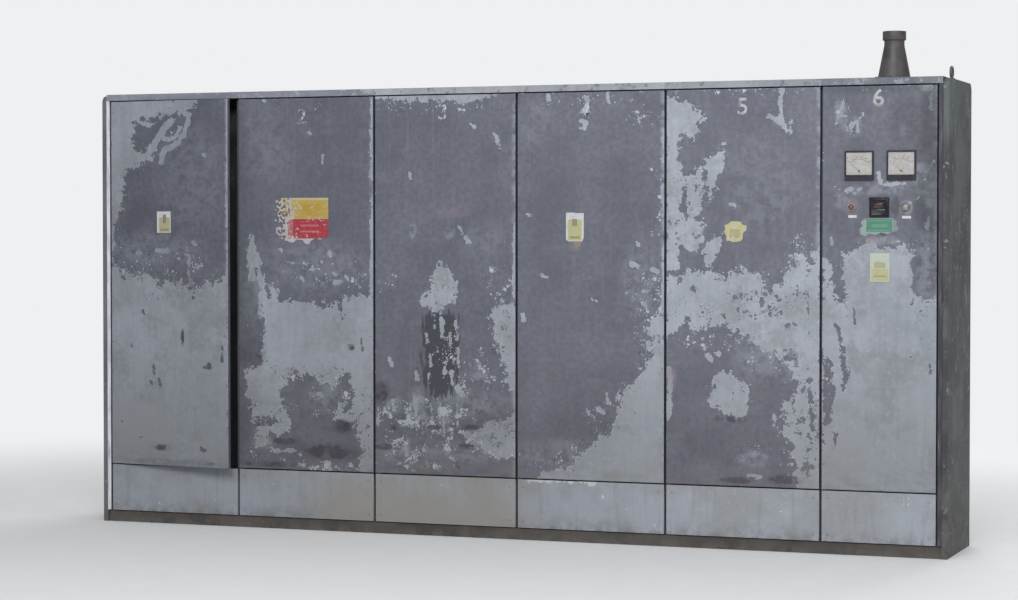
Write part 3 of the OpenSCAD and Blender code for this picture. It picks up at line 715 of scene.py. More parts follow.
# %% Speckled zones
SPECKLED = {
    1: [(0.42, 1.40, 0.30, 0.12, 0.8), (0.20, 1.36, 0.15, 0.06, 0.8), (0.66, 1.33, 0.16, 0.09, 0.8),
        (0.48, 2.17, 0.12, 0.10, 0.5), (0.07, 1.55, 0.06, 0.12, 0.5)],
    2: [(0.52, 1.36, 0.32, 0.14, 0.62), (0.30, 0.84, 0.16, 0.05, 0.8), (0.62, 0.78, 0.14, 0.12, 0.75),
        (0.53, 0.348, 0.22, 0.032, 1.5), (0.20, 0.40, 0.20, 0.05, 0.7), (0.06, 1.08, 0.07, 0.08, 0.6),
        (0.48, 0.68, 0.14, 0.10, 0.6), (0.40, 2.28, 0.44, 0.05, 0.5)],
    3: [(0.30, 0.62, 0.34, 0.12, 1.25), (0.40, 0.47, 0.42, 0.10, 1.2), (0.70, 1.32, 0.10, 0.12, 0.85),
        (0.42, 0.95, 0.08, 0.14, 1.0), (0.60, 0.85, 0.18, 0.16, 0.8), (0.05, 1.33, 0.08, 0.12, 0.6),
        (0.36, 2.25, 0.45, 0.05, 0.75), (0.20, 0.37, 0.26, 0.04, 1.2)],
    4: [(0.71, 1.20, 0.12, 0.26, 0.85), (0.52, 0.66, 0.16, 0.12, 0.7), (0.20, 0.40, 0.22, 0.09, 0.75),
        (0.38, 2.28, 0.45, 0.06, 0.75), (0.75, 1.75, 0.06, 0.22, 0.7), (0.40, 0.50, 0.20, 0.10, 0.6),
        (0.68, 2.15, 0.12, 0.08, 0.75)],
    5: [(0.14, 1.58, 0.10, 0.09, 0.8), (0.12, 1.76, 0.10, 0.12, 0.55), (0.25, 1.04, 0.22, 0.07, 0.75),
        (0.55, 0.93, 0.16, 0.10, 0.7), (0.66, 0.55, 0.10, 0.26, 0.8), (0.34, 0.78, 0.16, 0.15, 0.5),
        (0.72, 1.52, 0.10, 0.08, 0.7), (0.46, 0.48, 0.10, 0.10, 0.4), (0.35, 2.29, 0.45, 0.035, 0.7)],
    6: [(0.51, 1.42, 0.09, 0.20, 0.45), (0.52, 1.82, 0.07, 0.16, 0.35), (0.14, 2.14, 0.10, 0.08, 0.6),
        (0.08, 1.05, 0.08, 0.40, 0.6), (0.30, 1.60, 0.16, 0.06, 0.5), (0.55, 2.20, 0.05, 0.14, 0.4),
        (0.30, 2.29, 0.30, 0.02, 0.6), (0.15, 1.76, 0.09, 0.05, 0.5), (0.54, 1.80, 0.05, 0.10, 0.7),
        (0.52, 2.285, 0.06, 0.02, 1.0)],
}
CLINGING = {
    1: [(0.45, 1.26, 0.36, 0.10, 0.7), (0.32, 0.79, 0.06, 0.07, 0.55), (0.40, 2.12, 0.16, 0.10, 0.5)],
    2: [(0.62, 1.16, 0.12, 0.07, 0.7), (0.20, 0.80, 0.18, 0.10, 0.7), (0.70, 0.62, 0.12, 0.18, 0.9),
        (0.16, 0.60, 0.16, 0.12, 0.8), (0.60, 0.40, 0.22, 0.10, 0.9), (0.40, 0.86, 0.26, 0.06, 0.85)],
    3: [(0.38, 1.26, 0.14, 0.12, 0.8), (0.73, 1.12, 0.09, 0.12, 0.8), (0.68, 0.54, 0.14, 0.10, 0.9),
        (0.36, 2.28, 0.40, 0.04, 0.6), (0.76, 0.90, 0.05, 0.10, 0.7)],
    4: [(0.72, 1.08, 0.08, 0.14, 0.7), (0.34, 0.38, 0.20, 0.07, 0.5), (0.56, 0.66, 0.10, 0.10, 0.5)],
    5: [(0.50, 1.24, 0.22, 0.12, 0.95), (0.72, 1.36, 0.10, 0.16, 0.8), (0.10, 1.60, 0.12, 0.12, 0.9),
        (0.72, 0.62, 0.12, 0.36, 0.95), (0.20, 1.22, 0.24, 0.12, 0.7), (0.34, 0.80, 0.12, 0.12, 0.6),
        (0.12, 1.78, 0.10, 0.14, 0.8), (0.66, 1.08, 0.14, 0.10, 0.75)],
    6: [(0.51, 1.20, 0.07, 0.25, 0.6), (0.12, 1.10, 0.10, 0.30, 0.4)],
}
print("speckled zones:", sum(map(len, SPECKLED.values())))

# %% [markdown]
# Stains of oil and soot, places that hands have rubbed pale, places with a reddish (above zero) or a
# bluish green tint (below zero), places painted darker than the rest of their door as painted shade,
# in part over stains and tints, and one outline that somebody has brushed over with darker paint are
# listed in the same way. The last table scales each door's colour as a whole: painted shade of the
# row's light, which falls off to the left, together with the door's own paint.

# %% Stained, rubbed, tinted and painted-shade places
STAINS = {
    1: [(0.22, 0.68, 0.05, 0.03, 0.4), (0.50, 1.02, 0.012, 0.05), (0.36, 0.42, 0.06, 0.02),
        (0.66, 0.86, 0.035, 0.012), (0.45, 0.34, 0.35, 0.02, 0.6)],
    2: [(0.54, 0.425, 0.18, 0.045), (0.09, 0.94, 0.09, 0.09, 0.6), (0.05, 1.08, 0.04, 0.06, 0.5),
        (0.28, 0.470, 0.10, 0.022), (0.20, 0.345, 0.20, 0.02, 0.8), (0.62, 0.56, 0.05, 0.035),
        (0.15, 0.555, 0.05, 0.012)],
    3: [(0.04, 0.74, 0.05, 0.06, 0.8), (0.05, 0.46, 0.06, 0.02), (0.55, 0.575, 0.07, 0.016),
        (0.53, 0.475, 0.06, 0.018), (0.34, 0.57, 0.045, 0.015), (0.40, 0.36, 0.36, 0.05, 0.6),
        (0.115, 0.56, 0.025, 0.018), (0.28, 0.47, 0.10, 0.02, 0.6)],
    4: [(0.10, 0.38, 0.10, 0.04, 0.3)],
    5: [(0.34, 0.655, 0.09, 0.022, 0.9), (0.38, 0.35, 0.10, 0.02), (0.62, 0.36, 0.09, 0.03)],
    6: [(0.31, 1.585, 0.03, 0.02)],
}
RUBBED = {
    1: [(0.55, 1.90, 0.22, 0.30, 0.35), (0.30, 1.50, 0.30, 0.10, 0.5)],
    2: [(0.08, 1.24, 0.06, 0.11, 0.9), (0.45, 1.40, 0.35, 0.15, 0.4), (0.15, 2.05, 0.14, 0.22, 0.3),
        (0.16, 0.46, 0.07, 0.03, 1.0), (0.52, 0.72, 0.12, 0.08, 0.5)],
    3: [(0.25, 0.66, 0.06, 0.11, 0.9), (0.11, 0.68, 0.05, 0.05, 0.8), (0.17, 0.46, 0.05, 0.06, 0.8),
        (0.40, 0.60, 0.04, 0.06, 0.8), (0.60, 0.84, 0.05, 0.05, 0.6), (0.50, 0.70, 0.25, 0.07, 0.6),
        (0.62, 0.52, 0.10, 0.08, 0.7), (0.36, 0.42, 0.35, 0.08, 0.5), (0.62, 1.55, 0.14, 0.10, 0.3),
        (0.22, 1.60, 0.02, 0.05, 0.8), (0.43, 1.59, 0.03, 0.05, 0.6)],
    4: [(0.25, 0.45, 0.25, 0.08, 0.4), (0.68, 1.35, 0.12, 0.20, 0.4), (0.10, 2.15, 0.12, 0.12, 0.3)],
    5: [(0.55, 0.97, 0.20, 0.12, 0.5), (0.46, 0.46, 0.08, 0.04, 0.8), (0.50, 1.80, 0.20, 0.25, 0.3)],
    6: [(0.52, 1.85, 0.06, 0.11, 0.8), (0.095, 2.18, 0.03, 0.06, 0.9),
        (0.155, 2.105, 0.05, 0.05, 0.9), (0.42, 1.705, 0.034, 0.034, 1.0),
        (0.30, 1.543, 0.10, 0.025, 1.0), (0.10, 1.74, 0.05, 0.04, 0.5), (0.52, 1.42, 0.05, 0.18, 0.9),
        (0.34, 1.80, 0.10, 0.03, 0.7), (0.22, 1.79, 0.10, 0.03, 0.6), (0.494, 1.89, 0.03, 0.04),
        (0.54, 1.77, 0.025, 0.08), (0.526, 1.72, 0.02, 0.02), (0.52, 1.62, 0.02, 0.015),
        (0.404, 2.08, 0.02, 0.03, 0.8), (0.52, 2.285, 0.05, 0.02)],
}
TINTED = {
    2: [(0.06, 1.23, 0.06, 0.10, -0.9), (0.15, 0.46, 0.05, 0.035, 0.8), (0.60, 1.45, 0.12, 0.10, 0.3)],
    3: [(0.45, 1.70, 0.12, 0.05, 0.5)],
    4: [(0.33, 1.52, 0.04, 0.03, 0.6), (0.22, 1.20, 0.14, 0.10, 0.3)],
    5: [(0.03, 0.86, 0.03, 0.07, 0.8)],
    6: [(0.151, 1.715, 0.036, 0.045, 1.0), (0.365, 1.71, 0.012, 0.04, 0.3),
        (0.26, 1.55, 0.10, 0.025, 0.5), (0.55, 1.90, 0.05, 0.45, -0.5),
        (0.50, 1.20, 0.08, 0.20, -0.3), (0.47, 2.265, 0.04, 0.025, -0.8)],
}
# Painted shade: places made darker than the rest of their door, in part over stains and tints.
DARKENED_PLACES = {
    1: [(0.40, 1.70, 0.36, 0.30, 0.10)],
    2: [(0.06, 1.23, 0.06, 0.10, 0.20), (0.08, 0.95, 0.10, 0.09, 0.10),
        (0.50, 0.41, 0.24, 0.05, 0.15), (0.62, 0.56, 0.06, 0.04, 0.30), (0.45, 1.04, 0.34, 0.12, 0.06)],
    3: [(0.40, 0.57, 0.42, 0.17, 0.12), (0.04, 0.74, 0.05, 0.07, 0.25)],
    4: [(0.30, 0.50, 0.30, 0.14, 0.08)],
    5: [(0.30, 0.55, 0.28, 0.12, 0.08)],
    6: [(0.57, 2.05, 0.10, 0.34, 0.46), (0.55, 1.72, 0.09, 0.20, 0.40),
        (0.54, 1.45, 0.09, 0.18, 0.26), (0.30, 2.31, 0.34, 0.05, 0.24),
        (0.43, 2.13, 0.10, 0.13, 0.26), (0.370, 1.712, 0.022, 0.05, 0.40)],
}
PAINTED_OVER = {3: (0.045, [(0.285, 1.16), (0.47, 1.165), (0.485, 1.00), (0.475, 0.80), (0.42, 0.735),
                            (0.34, 0.735), (0.29, 0.79), (0.28, 0.98)])}
# Painted shade: each door's whole colour is scaled by its own share, after the row's light, which falls
# off to the left, and after the door's own paint.
SHADE = {1: 0.84, 2: 0.92, 3: 0.99, 4: 1.04, 5: 1.09, 6: 1.00}
print("stains:", sum(map(len, STAINS.values())), "and rubbed places:", sum(map(len, RUBBED.values())))

# %% [markdown]
# ## Writing the marks onto the doors
# Eight values are written on each door's points: how far the point is inside a bare patch, how crowded
# the chips are, how much of the coat clings on, how stained or brushed over it is, how much it is rubbed
# pale, and lit by a painted highlight along its right edge, how it is tinted, and how much painted shade
# darkens it. A ninth is where the point lies on the shut door. Only the outside of the door gets wear.
# The material reads the values by name. They are smooth, so the leaf's grid is fine enough for them,
# and the material's own noise makes the crisp edges.


# %% Distances to outlines and lines
def distance_to(points, a, b):
    """Metres from each point to the straight line between two ends."""
    side = b - a
    along = np.clip((points - a) @ side / (side @ side), 0, 1)
    return np.linalg.norm(points - a - along[:, None] * side, axis=1)


def inside_outline(points, outline):
    """Metres inside a closed outline, negative outside it."""
    corners = np.array(outline)
    nearest = np.full(len(points), 9.0)
    inside = np.zeros(len(points), bool)
    for a, b in zip(corners, np.roll(corners, -1, axis=0)):
        nearest = np.minimum(nearest, distance_to(points, a, b))
        rise = b[1] - a[1] if abs(b[1] - a[1]) > 1e-9 else 1e-9
        crosses = (a[1] > points[:, 1]) != (b[1] > points[:, 1])
        inside ^= crosses & (points[:, 0] < a[0] + (points[:, 1] - a[1]) * (b[0] - a[0]) / rise)
    return np.where(inside, nearest, -nearest)


def near_line(points, path, radius):
    """Metres inside a line of that half width."""
    path = np.array(path)
    return radius - np.minimum.reduce([distance_to(points, a, b) for a, b in zip(path, path[1:])])


def in_ovals(points, ovals):
    """The strongest of several soft ovals at each point, from 0 to 1."""
    found = np.zeros(len(points))
    for u, z, half_u, half_z, *rest in ovals:
        reach = np.hypot((points[:, 0] - u) / half_u, (points[:, 1] - z) / half_z)
        found = np.maximum(found, (rest[0] if rest else 1.0) * np.clip(1.6 * (1.25 - reach), 0, 1))
    return found


print("one metre square, at its middle:", inside_outline(
    np.array([[0.5, 0.5]]), [(0, 0), (1, 0), (1, 1), (0, 1)])[0], "m inside")

# %% How bare the sheet is
SOFT_EDGE, FAR = 0.0065, 4.0


def bareness(points, number):
    """Above zero where the coat is gone: patches first, then scratches, then clinging flakes."""
    bare = np.full(len(points), -FAR)
    for kind, ragged, outline in PATCHES[number]:
        reach = inside_outline(points, outline) / ragged
        bare = np.maximum(bare, reach) if kind == "bare" else np.minimum(bare, -reach)
    for radius, path in SCRATCHES[number]:
        bare = np.maximum(bare, np.minimum(near_line(points, path, radius) / SOFT_EDGE, 1.5))
    for radius, path in CLINGING_MARKS.get(number, []):
        bare = np.minimum(bare, np.maximum(-near_line(points, path, radius) / SOFT_EDGE, -1.5))
    return bare


print("just inside the first patch:", round(bareness(np.array([[0.05, 2.25]]), 1)[0], 2))

# %% Write the marks
CHIPPED_RIM, LIT_EDGE_RIM = 0.012, 0.020


def point_values(leaf, kind):
    """The places or the normals of the leaf's points, one row each."""
    values = np.empty(len(leaf.data.vertices) * 3, np.float32)
    leaf.data.vertices.foreach_get(kind, values)
    return values.reshape(-1, 3)


def write_marks(leaf, number):
    """Write the door's marks on the points of its mesh."""
    where = point_values(leaf, "co").astype(float)
    points = np.stack([where[:, 0] - SEAMS[number - 1], where[:, 2]], axis=1)
    left, right = door_edges(number)
    margin = np.minimum.reduce([where[:, 0] - left, right - where[:, 0],
                                where[:, 2] - DOOR_FOOT, DOOR_HEAD - where[:, 2]])
    bare = bareness(points, number)
    chips = np.maximum(0.13 + 0.8 * in_ovals(points, SPECKLED[number]),
                       0.75 * np.clip(1 - margin / CHIPPED_RIM, 0, 1))
    ragged, outline = PAINTED_OVER.get(number, (1.0, [(9, 9), (9, 10), (10, 9)]))
    tinted = TINTED.get(number, [])
    outside = (point_values(leaf, "normal")[:, 1] < -0.3) & (where[:, 1] < FACE_Y + 0.0045)
    marks = {
        "bare": np.where(outside, np.clip(bare, -FAR, FAR), -FAR),
        "chips": outside * np.maximum(chips, 0.55 * np.clip(1 + bare / FAR, 0, 1)),
        "clinging": np.maximum(in_ovals(points, CLINGING[number]),
                               0.10 + 0.42 * np.clip(1 - bare / FAR, 0, 1)),
        "stain": outside * in_ovals(points, STAINS[number]),
        "brushed": outside * np.clip(0.5 + 0.5 * inside_outline(points, outline) / ragged, 0, 1),
        # Rubbed places are painted lighter, and so is a strip along the right edge: a painted highlight
        # where the fold catches light, with worn paint.
        "rubbed_and_lit_edge": outside * np.maximum(in_ovals(points, RUBBED[number]),
                                       np.clip(1.3 - (right - where[:, 0]) / LIT_EDGE_RIM, 0, 1)),
        "tint": outside * (in_ovals(points, [spot for spot in tinted if spot[-1] > 0])
                           - in_ovals(points, [(*spot[:-1], -spot[-1]) for spot in tinted
                                               if spot[-1] < 0])),
        # Painted shade: the door's own share, lowered in its darker places.
        "shade": SHADE[number] * (1 - in_ovals(points, DARKENED_PLACES[number])),
    }
    for name, values in marks.items():
        layer = leaf.data.attributes.new(name, "FLOAT", "POINT")
        layer.data.foreach_set("value", values.astype(np.float32))
    where[:, 1] -= FACE_Y
    layer = leaf.data.attributes.new("shut_place", "FLOAT_VECTOR", "POINT")
    layer.data.foreach_set("vector", where.astype(np.float32).ravel())


for number, leaf in leaves.items():
    write_marks(leaf, number)
    hang_on_door(leaf, number)
    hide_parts(f"door_{number}")
print("marks written on", len(leaves), "doors")

# %% [markdown]
# ## Peeling door paint
# The coat breaks off in flakes of two or three sizes with angular edges, and behind it the undercoat is
# paler, dull and streaked by water and hands. Here the written border is pushed in and out by
# noise, then by the random values of coarse and fine cells, so that whole flakes are missing or left.
# The coat's thickness shows as a small step of bump, and its broken rim is brighter.

# %% Door paint: where it is bare
door = Finish("door_paint_peeling")
place = door.painted("shut_place", "Vector")
bent = door.warp(door.warp(place, 22.0, 0.022), 90.0, 0.008)
wander = door.noise(place, 8.0, 9.0, 0.70)
lumps = door.noise(door.stretch(bent, shift=(1, 2, 6)), 24.0, 5.0, 0.60)
coarse, fine = door.cells(bent, 42.0)[0], door.cells(bent, 125.0)[0]
ragged = door.times_plus(wander, 6.0, -3.0)
ragged = door.times_plus(door.minus(lumps, 0.5), 6.5, ragged)
ragged = door.times_plus(coarse, 1.1, ragged)
ragged = door.times_plus(fine, 0.8, ragged)
ragged = door.minus(ragged, 0.95)
border = door.math("ADD", door.painted("bare"), ragged)
bare = door.ramp(border, -0.04, 0.04)
unpeeled = door.minus(1.0, bare)


def flakes(density, shift):
    """Chips of three sizes, crowded where the density is high, in clumps."""
    where = door.stretch(bent, shift=shift)
    clumps = door.ramp(door.noise(where, 13.0, 4.0, 0.6), 0.36, 0.66, 0.15, 1.5)
    crowd = door.times(density, clumps)
    found = None
    for scale, share in ((23.0, 0.60), (52.0, 0.78), (120.0, 0.85)):
        more = door.blobs(where, scale, door.times(crowd, share))
        found = more if found is None else door.math("MAXIMUM", found, more)
    return door.ramp(found, -0.015, 0.015)


chip = flakes(door.painted("chips"), (0, 0, 0))
left_on = flakes(door.painted("clinging"), (5, 3, 1))
bare = door.times(bare, door.minus(1.0, left_on))
bare = door.math("MAXIMUM", bare, chip)
print("the bare share is driven by", len(door.tree.nodes), "nodes")

# %% Door paint: the coat
height = door.axis(place, "Z")
cloud = door.noise(place, 2.6, 4.0, 0.6)
mottle = door.noise(place, 38.0, 4.0, 0.6)
smudge = door.noise(door.stretch(place, shift=(2, 7, 4)), 6.5, 6.0, 0.66)
streak = door.noise(door.stretch(place, scale=(34, 34, 1.7)), 1.0, 6.0, 0.68)
soil = door.noise(place, 17.0, 6.0, 0.7)

coat = door.layer((0.094, 0.098, 0.126), (0.126, 0.131, 0.162), cloud, 0.35, 0.65)
coat = door.layer(coat, (0.165, 0.172, 0.205), streak, 0.52, 0.72, 0.0, 0.40)
coat = door.layer(coat, (0.150, 0.156, 0.190), smudge, 0.50, 0.66, 0.0, 0.50)
coat = door.layer(coat, (0.074, 0.076, 0.098), mottle, 0.38, 0.62, 0.0, 0.45)
ruddy = door.times(door.ramp(height, 0.6, 1.5, 0.6, 0.0), door.ramp(soil, 0.42, 0.60))
coat = door.blend(ruddy, coat, (0.122, 0.114, 0.128))
# Rubbed places and the right edges are painted lighter: wear, and a painted highlight along the right
# edge.
rubbed_and_lit_edge = door.times(door.painted("rubbed_and_lit_edge"), door.ramp(soil, 0.40, 0.58))
coat = door.blend(rubbed_and_lit_edge, coat, (0.215, 0.232, 0.262))
brush = door.noise(door.stretch(place, scale=(60, 60, 9)), 1.0, 5.0, 0.65)
brushed = door.times_plus(brush, 2.4, door.painted("brushed"))
brushed = door.ramp(brushed, 1.62, 1.78)
coat = door.blend(door.times(brushed, 0.88), coat, (0.038, 0.040, 0.050))
print("coat mixed,", len(door.tree.nodes), "nodes so far")

# %% Door paint: the undercoat
under = door.layer((0.240, 0.260, 0.292), (0.298, 0.318, 0.364), cloud, 0.38, 0.62)
under = door.layer(under, (0.192, 0.202, 0.214), smudge, 0.48, 0.64, 0.0, 0.60)
under = door.layer(under, (0.200, 0.207, 0.214), streak, 0.36, 0.60, 0.26, 0.0)
under = door.layer(under, (0.37, 0.39, 0.43), mottle, 0.50, 0.70, 0.0, 0.30)
under = door.layer(under, (0.18, 0.19, 0.19), mottle, 0.30, 0.44, 0.30, 0.0)
# Painted shade: the undercoat is made darker and greyer towards the bottom, in clouds.
low_shade = door.times(door.ramp(height, 0.30, 1.1, 0.8, 0.0), door.ramp(cloud, 0.36, 0.58))
under = door.blend(low_shade, under, (0.219, 0.228, 0.234))
rim = door.ramp(door.math("ABSOLUTE", border), 0.05, 0.55, 0.45, 0.0)
under = door.blend(rim, under, (0.43, 0.45, 0.49))
fresh = door.times(chip, unpeeled)
under = door.blend(door.times(fresh, 0.6), under, (0.42, 0.44, 0.48))
print("undercoat mixed,", len(door.tree.nodes), "nodes so far")

# %% Door paint: tints, dirt, painted shade and relief
colour = door.blend(bare, coat, under)
tint = door.painted("tint")
reddish = door.times(door.ramp(tint, 0.0, 1.0), door.ramp(soil, 0.34, 0.54))
colour = door.blend(door.times(reddish, 0.65), colour, (0.215, 0.180, 0.210))
bluish = door.times(door.ramp(tint, -1.0, 0.0, 1.0, 0.0), door.ramp(soil, 0.34, 0.54))
colour = door.blend(door.times(bluish, 0.65), colour, (0.120, 0.150, 0.160))
from_third = door.math("ABSOLUTE", door.math("ADD", door.axis(place, "X"), 0.3))
swept = door.noise(door.stretch(bent, scale=(9, 9, 24)), 1.0, 6.0, 0.68)
swept = door.times(door.ramp(height, 0.34, 0.47, 0.8, 0.0), door.ramp(swept, 0.42, 0.62))
swept = door.times(swept, door.ramp(from_third, 0.36, 0.46, 1.0, 0.35))
colour = door.blend(swept, colour, (0.150, 0.140, 0.135))
stain = door.painted("stain")
blotch = door.times_plus(lumps, 1.6, door.times_plus(soil, 1.6, stain))
blotch = door.times_plus(door.ramp(blotch, 2.34, 2.50), 0.6, door.ramp(soil, 0.34, 0.58, 0.0, 0.4))
stained = door.times(blotch, door.ramp(stain, 0.0, 0.7))
colour = door.blend(door.times(stained, 0.84), colour, (0.050, 0.044, 0.058))
# Painted shade: the whole colour is scaled by the door's share, lowered in its darker places, and made
# up to a tenth darker towards the bottom.
shade = door.painted("shade")
shade = door.times(shade, door.ramp(height, 0.3, 1.7, 0.90, 1.0))
colour = door.scaled(colour, shade)

rough = door.ramp(bare, 0.0, 1.0, 0.50, 0.70)
rough = door.times_plus(mottle, 0.14, rough)
step = door.bump(bare, 0.0006, 0.7, inward=True)
grain = door.bump(mottle, 0.0006, 0.5, step)
waves = door.bump(door.noise(place, 7.0, 2.0, 0.5), 0.004, 0.35, grain)
door.set(Base_Color=colour, Roughness=rough, Normal=waves, Specular_IOR_Level=0.35)
cover(door.material, *leaves.values())
print("door paint has", len(door.tree.nodes), "nodes")

# %% [markdown]
# ## Finishes of the frame
# The other sheet metal never shows outlines, so its wear can come from noise alone, read at the
# point's place in the row. One function makes them all: two tones clouded into each other, vertical
# streaks, chips down to a second colour, dirt that gathers low down, and a few rust spots.


# %% Worn sheet metal
def worn_paint(name, tones, chip_colour, chip_share, dirt_top, roughness, rust=0.0, streaks=0.3,
               painted_light_to_right=None, warm=None, chipped=None):
    """Old paint: tones are its two shades, chip_share from 0 to 1 is how much has gone.

    Painted_light_to_right gives x of the last plain and the first fully lightened place: painted light,
    up to a fifth lighter towards the right. Warm gives x of the middle and half
    of the length over which the lower part has gone brownish. Chipped gives x of the middle and half
    of the length of a top edge, under the doors, that has been knocked."""
    paint = Finish(name)
    at = paint.place()

    def around(middle, half):
        """One about this x, and zero from half a length away."""
        away = paint.math("ABSOLUTE", paint.minus(paint.axis(at, "X"), middle))
        return paint.ramp(away, 0.5 * half, half, 1.0, 0.0)

    broad = paint.noise(at, 3.1, 4.0, 0.6)
    close = paint.noise(at, 44.0, 4.0, 0.6)
    run = paint.noise(paint.stretch(at, scale=(36, 36, 2.0)), 1.0, 5.0, 0.62)
    flake = paint.cells(paint.warp(at, 30.0, 0.012), 60.0)[0]
    tone = paint.layer(*tones, broad, 0.36, 0.64)
    tone = paint.layer(tone, tuple(0.62 * v for v in tones[0]), run, 0.5, 0.72, 0.0, streaks)
    tone = paint.layer(tone, tuple(1.3 * v for v in tones[1]), close, 0.5, 0.75, 0.0, 0.3)
    missing = paint.times_plus(flake, 0.16, paint.noise(at, 13.0, 7.0, 0.68))
    if chipped:
        knocks = paint.times(around(*chipped), paint.ramp(paint.axis(at, "Z"), 0.285, 0.312))
        missing = paint.times_plus(knocks, 0.24, missing)
    bare_spot = paint.ramp(paint.minus(missing, 0.86 - 0.46 * chip_share), -0.006, 0.006)
    tone = paint.blend(bare_spot, tone, chip_colour)
    dirt = paint.noise(at, 15.0, 6.0, 0.7)
    low = paint.times(paint.ramp(paint.axis(at, "Z"), 0.0, dirt_top, 0.9, 0.0),
                      paint.ramp(dirt, 0.38, 0.60))
    tone = paint.blend(low, tone, (0.095, 0.088, 0.078))
    # Painted light: the tone is made up to a fifth lighter towards the right.
    if painted_light_to_right:
        tone = paint.scaled(tone, paint.ramp(paint.axis(at, "X"), *painted_light_to_right, 1.0, 1.22))
    if warm:
        brown = paint.times(around(*warm), paint.ramp(paint.axis(at, "Z"), 0.06, 0.31, 0.9, 0.35))
        tone = paint.blend(brown, tone, (0.226, 0.212, 0.192))
    if rust:
        spots = paint.noise(at, 26.0, 6.0, 0.72)
        tone = paint.layer(tone, (0.16, 0.075, 0.035), spots, 0.74 - 0.2 * rust, 0.80 - 0.2 * rust)
    step = paint.bump(bare_spot, 0.0006, 0.7, inward=True)
    paint.set(Base_Color=tone, Roughness=paint.times_plus(close, 0.16, roughness - 0.08),
              Normal=paint.bump(close, 0.0007, 0.5, step), Specular_IOR_Level=0.35)
    return paint.material


print("worn paint ready")

# %% [markdown]
# Each kind of sheet has its own tones. The plinth is painted lighter towards the right as painted light,
# has gone brown in its middle and been knocked under the fourth door. The covers and the base are
# nearly black with dirt, and the right cover is darker still with painted shade.

# %% Finishes of the sheets
plinth_paint = worn_paint("plinth_paint", ((0.190, 0.197, 0.204), (0.234, 0.251, 0.284)),
                          (0.36, 0.38, 0.40), 0.16, 0.16, 0.66, rust=0.15, painted_light_to_right=(0.0, 1.3),
                          warm=(-0.45, 0.78), chipped=(0.32, 0.26))
roof_paint = worn_paint("roof_paint", ((0.235, 0.250, 0.275), (0.300, 0.315, 0.350)),
                        (0.150, 0.160, 0.190), 0.34, 0.05, 0.66, rust=0.1)
dull_roof_paint = worn_paint("dull_roof_paint", ((0.164, 0.176, 0.210), (0.208, 0.222, 0.262)),
                             (0.28, 0.295, 0.325), 0.42, 0.05, 0.66, rust=0.1)
end_roof_paint = worn_paint("end_roof_paint", ((0.112, 0.122, 0.142), (0.150, 0.160, 0.185)),
                            (0.22, 0.235, 0.265), 0.38, 0.05, 0.66, rust=0.1)
grey_roof_paint = worn_paint("grey_roof_paint", ((0.205, 0.218, 0.240), (0.262, 0.276, 0.305)),
                             (0.150, 0.160, 0.190), 0.36, 0.05, 0.66, rust=0.1)
frame_paint = worn_paint("frame_paint", ((0.070, 0.076, 0.090), (0.100, 0.108, 0.124)),
                         (0.18, 0.19, 0.20), 0.12, 0.30, 0.70, rust=0.1)
rear_paint = worn_paint("rear_paint", ((0.095, 0.103, 0.118), (0.125, 0.135, 0.152)),
                        (0.22, 0.235, 0.25), 0.22, 0.40, 0.64, rust=0.15)
# The right cover is painted darker than the left: dirt, with painted shade of the row's right end.
cover_paint = worn_paint("cover_paint", ((0.032, 0.037, 0.041), (0.088, 0.097, 0.098)),
                         (0.15, 0.165, 0.165), 0.32, 0.70, 0.62, rust=0.1, streaks=0.6)
left_cover_paint = worn_paint("left_cover_paint", ((0.088, 0.088, 0.104), (0.130, 0.130, 0.150)),
                              (0.19, 0.195, 0.21), 0.30, 0.50, 0.62, rust=0.1, streaks=0.5)
base_paint = worn_paint("base_paint", ((0.045, 0.041, 0.039), (0.072, 0.065, 0.060)),
                        (0.12, 0.065, 0.036), 0.28, 0.06, 0.78, rust=0.4)
eye_paint = worn_paint("eye_paint", ((0.070, 0.075, 0.080), (0.100, 0.106, 0.112)),
                       (0.14, 0.07, 0.038), 0.28, 0.01, 0.60, rust=0.3)
print("sheet finishes made")

# %% [markdown]
# Bare metals and the cast cable head have no paint to peel. The rails are dull zinc with its cloudy
# spangle, the locks are tarnished steel that has been handled, and the cable head is iron under
# a skin of bitumen: nearly black, softly shiny, pitted like a sand casting.


# %% Metals
def plain_metal(name, dark, bright, scale, roughness, metallic=1.0):
    """Metal with cloudy tarnish between two tones."""
    metal = Finish(name)
    at = metal.place()
    cloud = metal.noise(at, scale, 5.0, 0.6)
    grain = metal.noise(at, scale * 9, 3.0, 0.6)
    metal.set(Base_Color=metal.layer(dark, bright, cloud, 0.35, 0.65),
              Roughness=metal.times_plus(cloud, 0.3, roughness - 0.15),
              Metallic=metallic, Normal=metal.bump(grain, 0.0004, 0.4))
    return metal.material


print("plain metal ready")

# %% Trims, rails, locks and cable head
trim = Finish("trim_paint")
at = trim.place()
wear = trim.noise(trim.stretch(at, scale=(60, 60, 8)), 1.0, 6.0, 0.66)
shine = trim.noise(at, 34.0, 4.0, 0.6)
